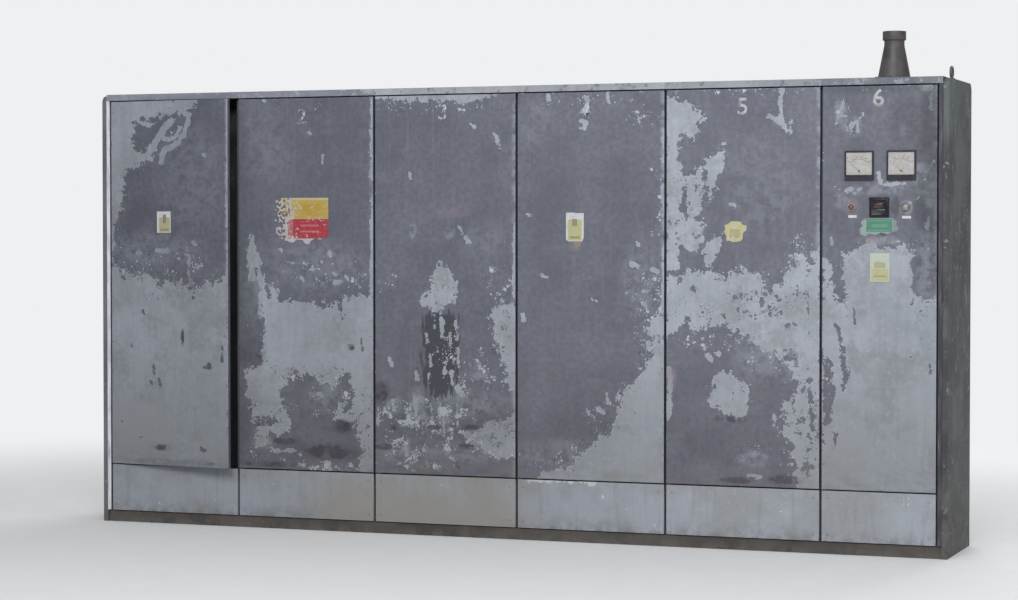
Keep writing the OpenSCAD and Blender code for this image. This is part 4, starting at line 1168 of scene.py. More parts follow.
# Painted light and shade: the left trim is pale, a painted highlight on its worn edge, and the right
# trim nearly black, painted shade of the row's right end.
lit_left_tone = trim.layer((0.42, 0.43, 0.46), (0.60, 0.61, 0.64), wear, 0.36, 0.60)
lit_left_tone = trim.layer(lit_left_tone, (0.16, 0.17, 0.20), wear, 0.30, 0.36, 0.8, 0.0)
shaded_right_tone = trim.layer((0.032, 0.033, 0.042), (0.066, 0.065, 0.076), wear, 0.42, 0.62)
shaded_right_tone = trim.layer(shaded_right_tone, (0.16, 0.165, 0.17), wear, 0.62, 0.66, 0.0, 0.5)
tone = trim.layer(lit_left_tone, shaded_right_tone, trim.axis(at, "X"), -1.0, 1.0)
trim.set(Base_Color=tone, Roughness=trim.times_plus(shine, 0.16, 0.46),
         Normal=trim.bump(wear, 0.0006, 0.5), Specular_IOR_Level=0.35)

rail_zinc = plain_metal("rail_zinc", (0.30, 0.31, 0.32), (0.50, 0.51, 0.52), 30.0, 0.48)
lock_metal = plain_metal("lock_metal", (0.10, 0.10, 0.10), (0.30, 0.29, 0.28), 90.0, 0.42)
coat_tones = ((0.100, 0.106, 0.130), (0.130, 0.138, 0.168))
under_tones = ((0.200, 0.215, 0.220), (0.260, 0.278, 0.300))
lock_in_coat = worn_paint("lock_in_coat", coat_tones, (0.22, 0.22, 0.22), 0.3, 0.3, 0.55)
lock_in_undercoat = worn_paint("lock_in_undercoat", under_tones, (0.13, 0.13, 0.14), 0.3, 0.3, 0.6)
screw_steel = plain_metal("screw_steel", (0.14, 0.14, 0.14), (0.34, 0.33, 0.32), 140.0, 0.40)

iron = Finish("head_iron")
at = iron.place()
pits = iron.cells(iron.warp(at, 40.0, 0.01), 130.0)[1]
skin = iron.noise(at, 12.0, 6.0, 0.65)
dust = iron.ramp(iron.noise(at, 5.0, 4.0, 0.6), 0.45, 0.7, 0.0, 0.5)
tone = iron.layer((0.034, 0.031, 0.031), (0.062, 0.056, 0.054), skin, 0.4, 0.62)
tone = iron.blend(dust, tone, (0.105, 0.098, 0.092))
iron.set(Base_Color=tone, Roughness=iron.times_plus(skin, 0.3, 0.38),
         Normal=iron.bump(skin, 0.002, 0.6, iron.bump(pits, 0.0006, 0.4)))
print("metals made")

# %% Dress the frame's own pieces
FINISH_OF = {
    "base": base_paint, "end_wall": frame_paint, "partition": frame_paint,
    "hinge_brackets": frame_paint, "rear_panels": rear_paint, "mounting_rails": rail_zinc,
    "plinth_panel": plinth_paint, "side_cover_left": left_cover_paint,
    "side_cover_right": cover_paint, "end_trims": trim.material, "cable_head": iron.material,
    "lifting_eye": eye_paint, "roof_1": dull_roof_paint, "roof_2": dull_roof_paint,
    "roof_5": grey_roof_paint, "roof_6": end_roof_paint, "roof": roof_paint,
    "lock_3": lock_in_coat, "lock_4": lock_in_coat, "lock_5": lock_in_undercoat,
    "lock_6": lock_in_undercoat, "lock": lock_metal,
}
dressed = 0
for name, node in nodes.items():
    finishes = [finish for start, finish in FINISH_OF.items() if name.startswith(start)]
    if finishes:
        cover(finishes[0], node)
        dressed += 1
print(dressed, "of the frame's pieces dressed")

# %% [markdown]
# Edges of sheet and casting catch light because they are never quite sharp. The frame's meshes stay
# as they are, but live modifiers may round them: Weld joins their loose triangles, and Bevel rounds
# what is sharp, narrow enough to keep every measure.

# %% Round the edges of the frame's pieces
ROUNDING = {"plinth_panel": 0.0008, "roof": 0.0008, "side_cover": 0.0015, "lock": 0.0005,
            "base": 0.0010, "end_trims": 0.0008, "panel_meters": 0.0006, "relay_module": 0.0006,
            "cable_head": 0.0016}
for name, node in nodes.items():
    widths = [width for start, width in ROUNDING.items() if name.startswith(start)]
    if widths:
        node.modifiers.new("Joined", "WELD").merge_threshold = 0.00002
        bevel = node.modifiers.new("Worn edges", "BEVEL")
        bevel.width = widths[0]
        bevel.segments = 2
        bevel.limit_method = "ANGLE"
        bevel.angle_limit = math.radians(50)
print("edges rounded")

# %% [markdown]
# ## Plates stuck on the doors
# Small printed plates of paper and foil are stuck on five of the doors. They are only a quarter of a
# millimetre thick, but they have an outline, worn corners and torn edges of their own, so they are
# geometry and not part of the door's paint. Each starts as a fine grid, the part that has torn off is
# deleted in edit mode, and Shrinkwrap lays the rest on the swollen sheet before it gets its
# thickness. They carry plain colours only.

# %% Lay thin things on a door
PAPER = 0.00025


def lay_on_door(piece, number, thickness=PAPER, gap=0.0003):
    """Lay a flat piece on the door's sheet, give it a thickness and hang it on that door."""
    if number == 1:
        swing_ajar(piece)
    finish_with(piece, "SHRINKWRAP", target=leaves[number], wrap_mode="ABOVE_SURFACE",
                wrap_method="NEAREST_SURFACEPOINT", offset=gap)
    finish_with(piece, "SOLIDIFY", thickness=thickness, offset=1)
    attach(piece, f"leaf_{number}")


def plate_on_door(name, number, low, high, outline=None, tatters=None, mesh_size=0.003):
    """A plate between two corners (u, z) in its bay, torn down to an outline where one is given.

    Tatters gives u of the side that hangs in shreds and of the first sound place."""
    seam = SEAMS[number - 1]
    wide, tall = high[0] - low[0], high[1] - low[1]
    select_nothing()
    bpy.ops.mesh.primitive_grid_add(
        x_subdivisions=round(wide / mesh_size), y_subdivisions=round(tall / mesh_size), size=1,
        rotation=(math.pi / 2, 0, 0),
        location=(seam + (low[0] + high[0]) / 2, FACE_Y - 0.002, (low[1] + high[1]) / 2))
    plate = bpy.context.object
    plate.name = name
    plate.scale = (wide, tall, 1)
    settle(plate)
    if outline:
        edit(plate)
        pick_faces(lambda centre, normal: inside_outline(
            np.array([[centre.x - seam, centre.z]]), outline)[0] < 0)
        bpy.ops.mesh.delete(type="FACE")
        if tatters:
            sound, torn = tatters[1], tatters[1] - tatters[0]
            pick_faces(lambda centre, normal: centre.x - seam < sound and noise.noise(
                centre * 70.0) > 0.75 * (centre.x - seam - tatters[0]) / torn - 0.25)
            bpy.ops.mesh.delete(type="FACE")
        bpy.ops.mesh.select_all(action="SELECT")
        bpy.ops.mesh.vertices_smooth(factor=0.5, repeat=2)
        leave_edit()
    lay_on_door(plate, number)
    return plate


print("a plate is", PAPER * 1000, "mm thick")

# %% The plates
plates = {
    "white_yellow_1": plate_on_door("plate_1", 1, (0.335, 1.585), (0.425, 1.700)),
    "yellow_red_2": plate_on_door("plate_2", 2, (0.215, 1.520), (0.537, 1.774), [
        (0.300, 1.772), (0.537, 1.770), (0.537, 1.562), (0.505, 1.558), (0.490, 1.546), (0.460, 1.556),
        (0.440, 1.544), (0.420, 1.522), (0.400, 1.526), (0.385, 1.546), (0.350, 1.548), (0.330, 1.530),
        (0.290, 1.540), (0.262, 1.552), (0.230, 1.566), (0.226, 1.600), (0.219, 1.640), (0.222, 1.690),
        (0.216, 1.730), (0.226, 1.768)], tatters=(0.215, 0.33)),
    "white_yellow_4": plate_on_door("plate_4", 4, (0.270, 1.500), (0.368, 1.688), [
        (0.271, 1.687), (0.367, 1.686), (0.368, 1.560), (0.360, 1.538), (0.352, 1.540), (0.350, 1.515),
        (0.336, 1.510), (0.330, 1.500), (0.318, 1.512), (0.314, 1.534), (0.290, 1.536), (0.270, 1.548)]),
    "torn_yellow_5": plate_on_door("plate_5", 5, (0.300, 1.532), (0.428, 1.645), [
        (0.304, 1.590), (0.313, 1.600), (0.308, 1.622), (0.330, 1.631), (0.345, 1.643), (0.396, 1.640),
        (0.400, 1.625), (0.424, 1.619), (0.422, 1.594), (0.406, 1.586), (0.404, 1.553), (0.392, 1.541),
        (0.350, 1.536), (0.336, 1.545), (0.319, 1.542), (0.317, 1.570)]),
    "green_6": plate_on_door("plate_green_6", 6, (0.190, 1.564), (0.390, 1.656), [
        (0.212, 1.650), (0.232, 1.655), (0.356, 1.655), (0.380, 1.640), (0.374, 1.622), (0.389, 1.606),
        (0.378, 1.590), (0.352, 1.588), (0.330, 1.576), (0.300, 1.584), (0.270, 1.572), (0.240, 1.580),
        (0.222, 1.566), (0.196, 1.576), (0.191, 1.602), (0.208, 1.618), (0.196, 1.634)]),
    "white_yellow_6": plate_on_door("plate_6", 6, (0.245, 1.345), (0.341, 1.484)),
    "strip_left_6": plate_on_door("lamp_strip_left", 6, (0.136, 1.657), (0.178, 1.670)),
    "strip_right_6": plate_on_door("lamp_strip_right", 6, (0.402, 1.653), (0.446, 1.666)),
}
print(len(plates), "plates laid on the doors")

# %% [markdown]
# A printed plate fades, picks up dirt along its edges and loses its film in spots. One function
# prints any of them: a ground colour, then fields of colour given as boxes in the bay's own metres,
# each with a slightly wobbly edge, then the wear.


# %% Faded print
EDGE = 0.001


def printed(name, number, ground, fields, wear=0.5, wear_colour=(0.42, 0.40, 0.40), torn=None):
    """Plate finish: fields are (u low, u high, z low, z high, colour), torn is where ink is lost."""
    ink = Finish(name)
    at = ink.stretch(ink.place(), shift=(-SEAMS[number - 1], 0, 0))
    wobbly = ink.warp(at, 60.0, 0.004)
    u, z = ink.axis(wobbly, "X"), ink.axis(wobbly, "Z")
    colour = ground
    for u_low, u_high, z_low, z_high, tone in fields:
        box = 1.0
        for place, low, high in ((u, u_low, u_high), (z, z_low, z_high)):
            box = ink.times(box, ink.ramp(place, low - EDGE, low + EDGE))
            box = ink.times(box, ink.ramp(place, high - EDGE, high + EDGE, 1.0, 0.0))
        colour = ink.blend(box, colour, tone)
    smear = ink.noise(at, 55.0, 5.0, 0.65)
    crowd = ink.ramp(ink.noise(at, 22.0, 3.0, 0.6), 0.40, 0.62, 0.0, wear)
    if torn:
        crowd = ink.math("ADD", crowd, ink.ramp(u, *torn, 0.75, 0.0))
    lost = ink.math("MAXIMUM", ink.blobs(wobbly, 85.0, crowd), ink.blobs(wobbly, 160.0, crowd))
    colour = ink.layer(colour, wear_colour, lost, -0.01, 0.01)
    colour = ink.layer(colour, (0.20, 0.19, 0.17), smear, 0.50, 0.72, 0.0, 0.5)
    ink.set(Base_Color=colour, Roughness=ink.times_plus(smear, 0.3, 0.32),
            Normal=ink.bump(smear, 0.0003, 0.5), Specular_IOR_Level=0.4)
    return ink.material


print("print ready, its edges wobble by some", EDGE * 1000, "mm")

# %% Ink on the plates
YELLOW, PALE, RED = (0.36, 0.255, 0.050), (0.46, 0.47, 0.47), (0.29, 0.022, 0.034)
DULL_RED, DULL_GREEN = (0.40, 0.10, 0.12), (0.15, 0.26, 0.21)
cover(printed("print_1", 1, PALE, [
    (0.345, 0.415, 1.588, 1.668, (0.31, 0.30, 0.18)), (0.370, 0.390, 1.636, 1.684, (0.17, 0.16, 0.13)),
    (0.352, 0.408, 1.596, 1.606, (0.20, 0.19, 0.10))]), plates["white_yellow_1"])
cover(printed("print_2", 2, (0.36, 0.30, 0.27), [
    (0.215, 0.55, 1.660, 1.78, (0.37, 0.32, 0.20)), (0.268, 0.55, 1.660, 1.78, YELLOW),
    (0.268, 0.55, 1.757, 1.78, (0.40, 0.34, 0.17)), (0.385, 0.495, 1.672, 1.738, (0.35, 0.225, 0.022)),
    (0.300, 0.345, 1.660, 1.700, (0.36, 0.25, 0.12)), (0.300, 0.55, 1.53, 1.658, (0.33, 0.10, 0.11)),
    (0.330, 0.55, 1.53, 1.658, RED), (0.372, 0.480, 1.618, 1.628, DULL_RED),
    (0.372, 0.480, 1.586, 1.596, DULL_RED), (0.28, 0.55, 1.51, 1.554, (0.38, 0.34, 0.35))],
    0.8, (0.38, 0.37, 0.38), (0.30, 0.375)), plates["yellow_red_2"])
cover(printed("print_4", 4, PALE, [
    (0.282, 0.356, 1.545, 1.650, (0.36, 0.355, 0.19)), (0.304, 0.332, 1.618, 1.655, (0.21, 0.20, 0.13)),
    (0.27, 0.37, 1.49, 1.541, (0.205, 0.178, 0.122)),
    (0.292, 0.346, 1.556, 1.566, (0.22, 0.20, 0.10))]), plates["white_yellow_4"])
cover(printed("print_5", 5, (0.40, 0.385, 0.215), [
    (0.335, 0.388, 1.558, 1.602, (0.33, 0.29, 0.15))], 0.9), plates["torn_yellow_5"])
cover(printed("print_green_6", 6, (0.20, 0.275, 0.265), [
    (0.358, 0.395, 1.55, 1.66, (0.165, 0.205, 0.205)),
    (0.226, 0.354, 1.588, 1.652, (0.050, 0.180, 0.120)), (0.234, 0.346, 1.594, 1.597, DULL_GREEN),
    (0.234, 0.346, 1.641, 1.644, DULL_GREEN), (0.252, 0.330, 1.610, 1.626, (0.09, 0.23, 0.165))],
    0.6, (0.24, 0.27, 0.28)), plates["green_6"])
cover(printed("print_6", 6, (0.385, 0.425, 0.360), [
    (0.251, 0.336, 1.350, 1.408, (0.36, 0.36, 0.20)), (0.264, 0.322, 1.412, 1.440, (0.30, 0.30, 0.19)),
    (0.262, 0.326, 1.368, 1.376, (0.26, 0.25, 0.13))], 0.6), plates["white_yellow_6"])
cover(printed("print_strip", 6, (0.50, 0.48, 0.47), [], 0.3), plates["strip_left_6"],
      plates["strip_right_6"])
print("plates printed")

# %% [markdown]
# ## Painted bay numerals
# Each door from the second on has its bay's number near the top, painted white through a stencil and
# now half worn away. Text is the natural start. It is made a mesh, laid on the sheet as the plates
# were, and its finish lets the coat's colour show where the white has gone.

# %% Numerals
def written(name, body, place, **settings):
    """Upright figures as a mesh: text is typed, set and then made a mesh."""
    select_nothing()
    bpy.ops.object.text_add(rotation=(math.pi / 2, 0, 0), location=place)
    figure = bpy.context.object
    figure.name = name
    figure.data.body = body
    figure.data.align_x = "CENTER"
    for key, value in settings.items():
        setattr(figure.data, key, value)
    make_active(figure)
    bpy.ops.object.convert(target="MESH")
    settle(figure)
    return figure


NUMERALS = {2: (0.380, 2.164, 0.58), 3: (0.390, 2.172, 0.52), 4: (0.375, 2.168, 0.44),
            5: (0.400, 2.172, 0.40), 6: (0.283, 2.201, 0.30)}
white = Finish("numeral_white")
at = white.place()
flaw = white.noise(at, 60.0, 6.0, 0.7)
worn = white.painted("worn")
gone = white.minus(white.times_plus(worn, 0.62, 0.18), flaw)
tone = white.layer((0.30, 0.31, 0.32), (0.42, 0.43, 0.44), flaw, 0.3, 0.7)
tone = white.layer(tone, (0.122, 0.131, 0.165), gone, -0.02, 0.02)
white.set(Base_Color=tone, Roughness=0.6, Normal=white.bump(flaw, 0.0003, 0.5))
for number, (u, z, wear) in NUMERALS.items():
    numeral = written(f"numeral_{number}", str(number), (SEAMS[number - 1] + u, FACE_Y - 0.002, z),
                      size=0.118, offset=0.0022, fill_mode="FRONT")
    values = numeral.data.attributes.new("worn", "FLOAT", "POINT")
    values.data.foreach_set("value", [wear] * len(numeral.data.vertices))
    lay_on_door(numeral, number, 0.00012, 0.0002)
    cover(white.material, numeral)
print("numerals on doors", list(NUMERALS))

# %% [markdown]
# ## Panel meters
# The two square meters keep their cases from the frame. What one reads is inside: a pale dial with an
# arc of ticks, numbers, a needle at rest on zero, and a dusty pane in front. The ticks are one
# small bar, spun round the needle's pivot with copies in place, as one would divide a scale.

# %% Dial, ticks and needle
DIAL_W, DIAL_H = 0.1276, 0.1096
DIAL_Z = METER_Z + 0.009
DIAL_Y = FACE_Y - 0.0046
SCALE_R, NEEDLE_R, PIVOT_DROP = 0.058, 0.055, 0.036
SWEEP = math.radians(96)


def ticks(name, pivot, count, inner, outer, thick):
    """Bars between two radii, spread evenly over the scale."""
    bar = block(name, pivot + Vector((-thick / 2, -0.0003, inner)),
                pivot + Vector((thick / 2, 0.0002, outer)))
    edit(bar)
    bpy.ops.mesh.select_all(action="SELECT")
    bpy.ops.transform.rotate(value=SWEEP / 2, orient_axis="Y", center_override=pivot)
    bpy.ops.mesh.spin(steps=count - 1, dupli=True, angle=SWEEP, center=pivot, axis=(0, -1, 0))
    leave_edit()
    return bar


def dial_print(name, x, top_value):
    """Arc, ticks and numbers of one meter, joined."""
    pivot = Vector((x, DIAL_Y - 0.0002, DIAL_Z - PIVOT_DROP))
    parts = [ticks("minor", pivot, 41, SCALE_R, SCALE_R + 0.003, 0.0005),
             ticks("major", pivot, 11, SCALE_R, SCALE_R + 0.006, 0.0010),
             ticks("arc", pivot, 97, SCALE_R - 0.0004, SCALE_R + 0.0002, 0.0012)]
    for step in range(0, 6):
        angle = SWEEP * (step / 5 - 0.5)
        spot = pivot + Vector((math.sin(angle), 0, math.cos(angle))) * (SCALE_R + 0.0115)
        parts.append(written("figure", str(top_value * step // 5), spot, size=0.0085,
                             align_y="CENTER", extrude=0.0001))
    return join(parts, name)


def needle(name, x):
    """A tapered needle on its hub, resting on zero."""
    pivot = Vector((x, DIAL_Y - 0.0016, DIAL_Z - PIVOT_DROP))
    blade = block(name, pivot + Vector((-0.0011, -0.0003, -0.012)),
                  pivot + Vector((0.0011, 0.0003, NEEDLE_R)))
    edit(blade)
    pick_faces(lambda centre, normal: normal.z > 0.9)
    bpy.ops.transform.resize(value=(0.25, 1, 1), center_override=pivot)
    bpy.ops.mesh.select_all(action="SELECT")
    bpy.ops.transform.rotate(value=SWEEP / 2, orient_axis="Y", center_override=pivot)
    leave_edit()
    hub = disc("hub", pivot + Vector((0, -0.0008, 0)), 0.0055, 0.0022, 24)
    soften(hub, 0.0005)
    return join([blade, hub], name)


print("a scale sweeps", round(math.degrees(SWEEP)), "degrees")

# %% Build the meters
dials, prints, needles, panes = [], [], [], []
for side, x, top_value in (("left", METERS_X[0], 500), ("right", METERS_X[1], 100)):
    dial = block(f"meter_dial_{side}", (x - DIAL_W / 2, DIAL_Y, DIAL_Z - DIAL_H / 2),
                 (x + DIAL_W / 2, DIAL_Y + 0.0004, DIAL_Z + DIAL_H / 2))
    soften(dial, 0.0001, 1)
    dials.append(dial)
    prints.append(dial_print(f"meter_scale_{side}", x, top_value))
    needles.append(needle(f"meter_needle_{side}", x))
    pane = block(f"meter_pane_{side}", (x - DIAL_W / 2, FACE_Y - 0.0082, DIAL_Z - DIAL_H / 2),
                 (x + DIAL_W / 2, FACE_Y - 0.0074, DIAL_Z + DIAL_H / 2))
    soften(pane, 0.0003, 1)
    panes.append(pane)
for piece in dials + prints + needles + panes:
    hang_on_door(piece, 6)
print("meters:", [len(piece.data.polygons) for piece in prints], "faces of print")

# %% Finishes of the meters
def black_case(name, dark, bright, scale, span, roughness, gloss):
    """Black moulded plastic under a film of dust."""
    case = Finish(name)
    film = case.noise(case.place(), scale, 5.0, 0.65)
    case.set(Base_Color=case.layer(dark, bright, film, *span), Specular_IOR_Level=gloss,
             Roughness=case.times_plus(film, 0.4, roughness), Normal=case.bump(film, 0.0003, 0.4))
    return case.material


white = Finish("dial_aged_white")
at = white.place()
spot = white.noise(at, 70.0, 5.0, 0.7)
tone = white.layer((0.46, 0.440, 0.455), (0.44, 0.430, 0.375), white.noise(at, 9.0, 4.0, 0.6), 0.4, 0.6)
tone = white.layer(tone, (0.34, 0.31, 0.27), spot, 0.66, 0.78, 0.0, 0.3)
u = white.axis(at, "X")
yellowed = white.times(white.ramp(u, METERS_X[0] - 0.012, METERS_X[0] + 0.012, 0.0, 0.6),
                       white.ramp(u, 1.96, 1.98, 1.0, 0.0))
tone = white.blend(yellowed, tone, (0.43, 0.44, 0.355))
off_middle = white.math("ABSOLUTE", white.minus(u, METERS_X[1]))
tone = white.layer(tone, (0.46, 0.405, 0.345), off_middle, 0.01, 0.05, 0.6, 0.0)
white.set(Base_Color=tone, Roughness=0.6, Normal=white.bump(spot, 0.0002, 0.3))

black = Finish("dial_print_black")
black.set(Base_Color=black.blend(black.noise(black.place(), 80.0), (0.020, 0.020, 0.022),
                                 (0.070, 0.068, 0.066)), Roughness=0.55)
glass = Finish("pane_dusty_glass")
dust = glass.noise(glass.place(), 34.0, 6.0, 0.7)
glass.set(Base_Color=glass.blend(dust, (0.42, 0.42, 0.43), (0.36, 0.36, 0.36)),
          Roughness=glass.ramp(dust, 0.35, 0.7, 0.10, 0.35),
          Alpha=glass.ramp(dust, 0.35, 0.75, 0.10, 0.22))
cover(white.material, *dials)
cover(black.material, *prints, *needles)
cover(glass.material, *panes)
cover(black_case("meter_case_black", (0.012, 0.010, 0.016), (0.026, 0.023, 0.034), 46.0, (0.42, 0.68),
                 0.22, 0.35), nodes["panel_meters"])
print("meters dressed")

# %% [markdown]
# ## Signal lamps
# A signal lamp is turned work: a bevelled ring, a domed lens in it, and a holder behind the
# door. In the frame it is one solid. Here ring and lens are apart, so that each gets its own
# material. Both start as a circle that is extruded and scaled step by step along the outline, which
# is how one draws turned parts without a lathe tool.


# %% Turned parts
def turned(name, centre, rings, sides=40):
    """A turned shape: rings are (radius, distance in front of the centre), from back to front."""
    select_nothing()
    x, y, z = centre
    bpy.ops.mesh.primitive_circle_add(vertices=sides, radius=rings[0][0], rotation=(math.pi / 2, 0, 0),
                                      location=(x, y - rings[0][1], z))
    piece = bpy.context.object
    piece.name = name
    settle(piece)
    edit(piece, "EDGE")
    bpy.ops.mesh.select_all(action="SELECT")
    for (radius, ahead), (next_radius, next_ahead) in zip(rings, rings[1:]):
        bpy.ops.mesh.extrude_region_move(TRANSFORM_OT_translate={"value": (0, ahead - next_ahead, 0)})
        share = next_radius / radius
        bpy.ops.transform.resize(value=(share, 1, share), center_override=(x, y - next_ahead, z))
    bpy.ops.mesh.edge_face_add()
    bpy.ops.mesh.select_all(action="DESELECT")
    pick_edges(lambda *ends: all(near(end.y, y - rings[0][1], 1e-6) and near(
        (end - Vector((x, end.y, z))).length, rings[0][0], 1e-6) for end in ends))
    bpy.ops.mesh.edge_face_add()
    bpy.ops.mesh.select_all(action="SELECT")
    bpy.ops.mesh.remove_doubles(threshold=1e-6)
    bpy.ops.mesh.normals_make_consistent(inside=False)
    leave_edit()
    return piece


print("turning ready")

# %% Rings and lenses of the lamps
lamp_rings, lamp_lenses = [], []
for side, x in zip(("left", "right"), LAMPS_X):
    centre = (x, FACE_Y, LAMP_Z)
    ring = turned(f"lamp_ring_{side}", centre, [
        (0.0030, -0.045), (0.0110, -0.045), (0.0110, -0.0002), (0.0220, 0.0002), (0.0220, 0.0030),
        (0.0190, 0.0070), (0.0152, 0.0070), (0.0150, 0.0040), (0.0030, 0.0040)])
    soften(ring, 0.0004)
    dome = [(0.0148 * math.cos(a), 0.0041 + 0.0088 * math.sin(a))
            for a in np.radians([0, 12, 24, 36, 48, 60, 72, 84])]
    lens = turned(f"lamp_lens_{side}", centre, dome)
    make_active(lens)
    bpy.ops.object.shade_smooth_by_angle(angle=math.radians(50))
    for piece, group in ((ring, lamp_rings), (lens, lamp_lenses)):
        hang_on_door(piece, 6)
        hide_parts("signal_lamps")
        group.append(piece)
print("lamps:", len(lamp_rings), "rings and lenses")


# %% Finishes of the lamps
def lens_finish(name, dark, bright):
    """Clouded old plastic that still has some gloss."""
    lens = Finish(name)
    haze = lens.noise(lens.place(), 120.0, 5.0, 0.65)
    lens.set(Base_Color=lens.layer(dark, bright, haze, 0.35, 0.65), Coat_Weight=0.3,
             Roughness=lens.ramp(haze, 0.3, 0.7, 0.16, 0.4), Normal=lens.bump(haze, 0.0002, 0.3))
    return lens.material


cover(lens_finish("lens_dull_red", (0.080, 0.036, 0.036), (0.125, 0.062, 0.058)), lamp_lenses[0])
cover(lens_finish("lens_clear_grey", (0.15, 0.155, 0.13), (0.33, 0.33, 0.29)), lamp_lenses[1])
cover(plain_metal("lamp_ring_warm", (0.19, 0.14, 0.135), (0.32, 0.25, 0.245), 120.0, 0.5, 0.3),
      lamp_rings[0])
cover(plain_metal("lamp_ring_dull", (0.10, 0.10, 0.09), (0.26, 0.26, 0.24), 120.0, 0.45, 0.8),
      lamp_rings[1])
print("lamps dressed")

# %% [markdown]
# ## Relay module
# Between the lamps sits a black module the size of a standard relay. Its front is a plate with a
# sunken window, a dull red flag behind it, a strip under the flag and a round reset knob.

# %% Front of the module
MODULE_Y = FACE_Y - 0.006
module_front = block("module_front", (MODULE_X - 0.0428, MODULE_Y - 0.0008, LAMP_Z - 0.0428),
                     (MODULE_X + 0.0428, MODULE_Y + 0.0004, LAMP_Z + 0.0428))
edit(module_front)
pick_faces(lambda centre, normal: normal.y < -0.9)
bpy.ops.mesh.inset(thickness=0.004, depth=0.0012)
bpy.ops.mesh.inset(thickness=0.0015, depth=0)
bpy.ops.mesh.extrude_region_move(TRANSFORM_OT_translate={"value": (0, 0.0008, 0)})
leave_edit()
soften(module_front, 0.0003)
window = block("module_window", (MODULE_X - 0.030, MODULE_Y - 0.0026, LAMP_Z - 0.004),
               (MODULE_X + 0.030, MODULE_Y - 0.0006, LAMP_Z + 0.026))
edit(window)
pick_faces(lambda centre, normal: normal.y < -0.9)
bpy.ops.mesh.inset(thickness=0.003, depth=0)
bpy.ops.mesh.extrude_region_move(TRANSFORM_OT_translate={"value": (0, 0.0012, 0)})
leave_edit()
soften(window, 0.0003)
module_front = join([module_front, window], "module_front")
flag = block("module_flag", (MODULE_X - 0.022, MODULE_Y - 0.0019, LAMP_Z + 0.003),
             (MODULE_X + 0.018, MODULE_Y - 0.0010, LAMP_Z + 0.018))
soften(flag, 0.0003)
strip = block("module_strip", (MODULE_X - 0.030, MODULE_Y - 0.0022, LAMP_Z - 0.020),
              (MODULE_X + 0.030, MODULE_Y - 0.0006, LAMP_Z - 0.010))
soften(strip, 0.0004)
knob = turned("module_knob", (MODULE_X + 0.022, MODULE_Y - 0.0005, LAMP_Z - 0.030),
              [(0.0060, 0.0), (0.0060, 0.0035), (0.0052, 0.0045), (0.0020, 0.0047)], 28)
soften(knob, 0.0003)
for piece in (module_front, flag, strip, knob):
    hang_on_door(piece, 6)
print("module front has", len(module_front.data.polygons), "faces")

# %% Finishes of the module
cover(black_case("module_black", (0.006, 0.005, 0.009), (0.016, 0.013, 0.021), 60.0, (0.42, 0.7),
                 0.16, 0.30), nodes["relay_module"], module_front, knob)
cover(lens_finish("flag_dull_red", (0.040, 0.008, 0.012), (0.075, 0.018, 0.024)), flag)
cover(lens_finish("strip_dark_green", (0.012, 0.030, 0.022), (0.025, 0.055, 0.040)), strip)
print("relay module dressed")

# %% [markdown]
# ## Screws
# The plinth panels, the rear panels and the side covers come off for work on the cables, so they
# are held by slotted screws. One screw is turned, its slot is cut with a Boolean, and it is copied
# to every place. Those in front have pan heads and were painted over with the panels. Those at the
# sides and the rear are countersunk, so that their heads lie all but flush with the sheet.

# %% One screw
HEAD_R, HEAD_T = 0.0065, 0.0030


def master_screw():
    """A slotted pan head at the origin that looks to the front."""
    head = turned("screw", (0, 0, 0), [(HEAD_R, -0.0005), (HEAD_R, 0.0012), (HEAD_R * 0.92, 0.0022),
                                       (HEAD_R * 0.70, 0.0028), (0.0015, HEAD_T)], 18)
    cut(head, [block("slot", (-0.02, -0.01, -0.0007), (0.02, -0.0014, 0.0007))])
    make_active(head)
    bpy.ops.object.shade_smooth_by_angle(angle=math.radians(40))
    return head


screw = master_screw()
print("one screw turned:", len(screw.data.polygons), "faces")

# %% Set the screws
COUNTERSUNK = 0.1  # share of the pan head's height that a countersunk head shows


def set_screws(name, places, turn=0.0, height=COUNTERSUNK):
    """Copies of the screw at these places, turned about Z, each with its slot at its own angle."""
    copies = []
    for index, place in enumerate(places):
        copy = screw.copy()
        copy.data = screw.data.copy()
        bpy.context.scene.collection.objects.link(copy)
        tilt = math.radians((37 * index + 20) % 180)
        copy.matrix_world = (Matrix.Translation(place) @ Matrix.Rotation(turn, 4, "Z")
                             @ Matrix.Rotation(tilt, 4, "Y") @ Matrix.Diagonal((1, height, 1, 1)))
        settle(copy)
        copies.append(copy)
    group = join(copies, name)
    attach(group, "carcass")
    return group


COVER_X, REAR_Y = 2.328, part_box("rear_panels")[1].y
plinth_places = [(x, FACE_Y + 0.003, z) for number in DOORS
                 for x in (door_edges(number)[0] + 0.030, door_edges(number)[1] - 0.030)
                 for z in (0.100, 0.278)]
rear_places = [(x, REAR_Y, z) for number in DOORS
               for x in (SEAMS[number - 1] + 0.018, SEAMS[number] - 0.018)
               for z in (0.12, 0.82, 1.55, 2.25)]
side_places = [(y, z) for y in (FACE_Y + 0.085, FACE_Y + 0.550) for z in (0.12, 0.80, 1.50, 2.20)]
cover(plinth_paint, set_screws("plinth_screws", plinth_places, height=1.0))
cover(screw_steel,
      set_screws("rear_screws", rear_places, math.pi),
      set_screws("cover_screws_left", [(-COVER_X, *place) for place in side_places],
                 -math.pi / 2),
      set_screws("cover_screws_right", [(COVER_X, *place) for place in side_places],
                 math.pi / 2))
bpy.data.objects.remove(screw)
print("screws:", len(plinth_places) + len(rear_places) + 2 * len(side_places))

# %% [markdown]
# ## Light, floor and camera
# The hall was lit by daylight from high windows. A studio version of that is one broad soft lamp up
# in front, a weaker one from the side, and an even grey sky that fills the shadows. The floor is pale
# and fades into the background for the camera only, so that it takes the row's shadow but shows no
# horizon. The camera stands where the photograph was taken from, turned to the row, with a longer
# lens.

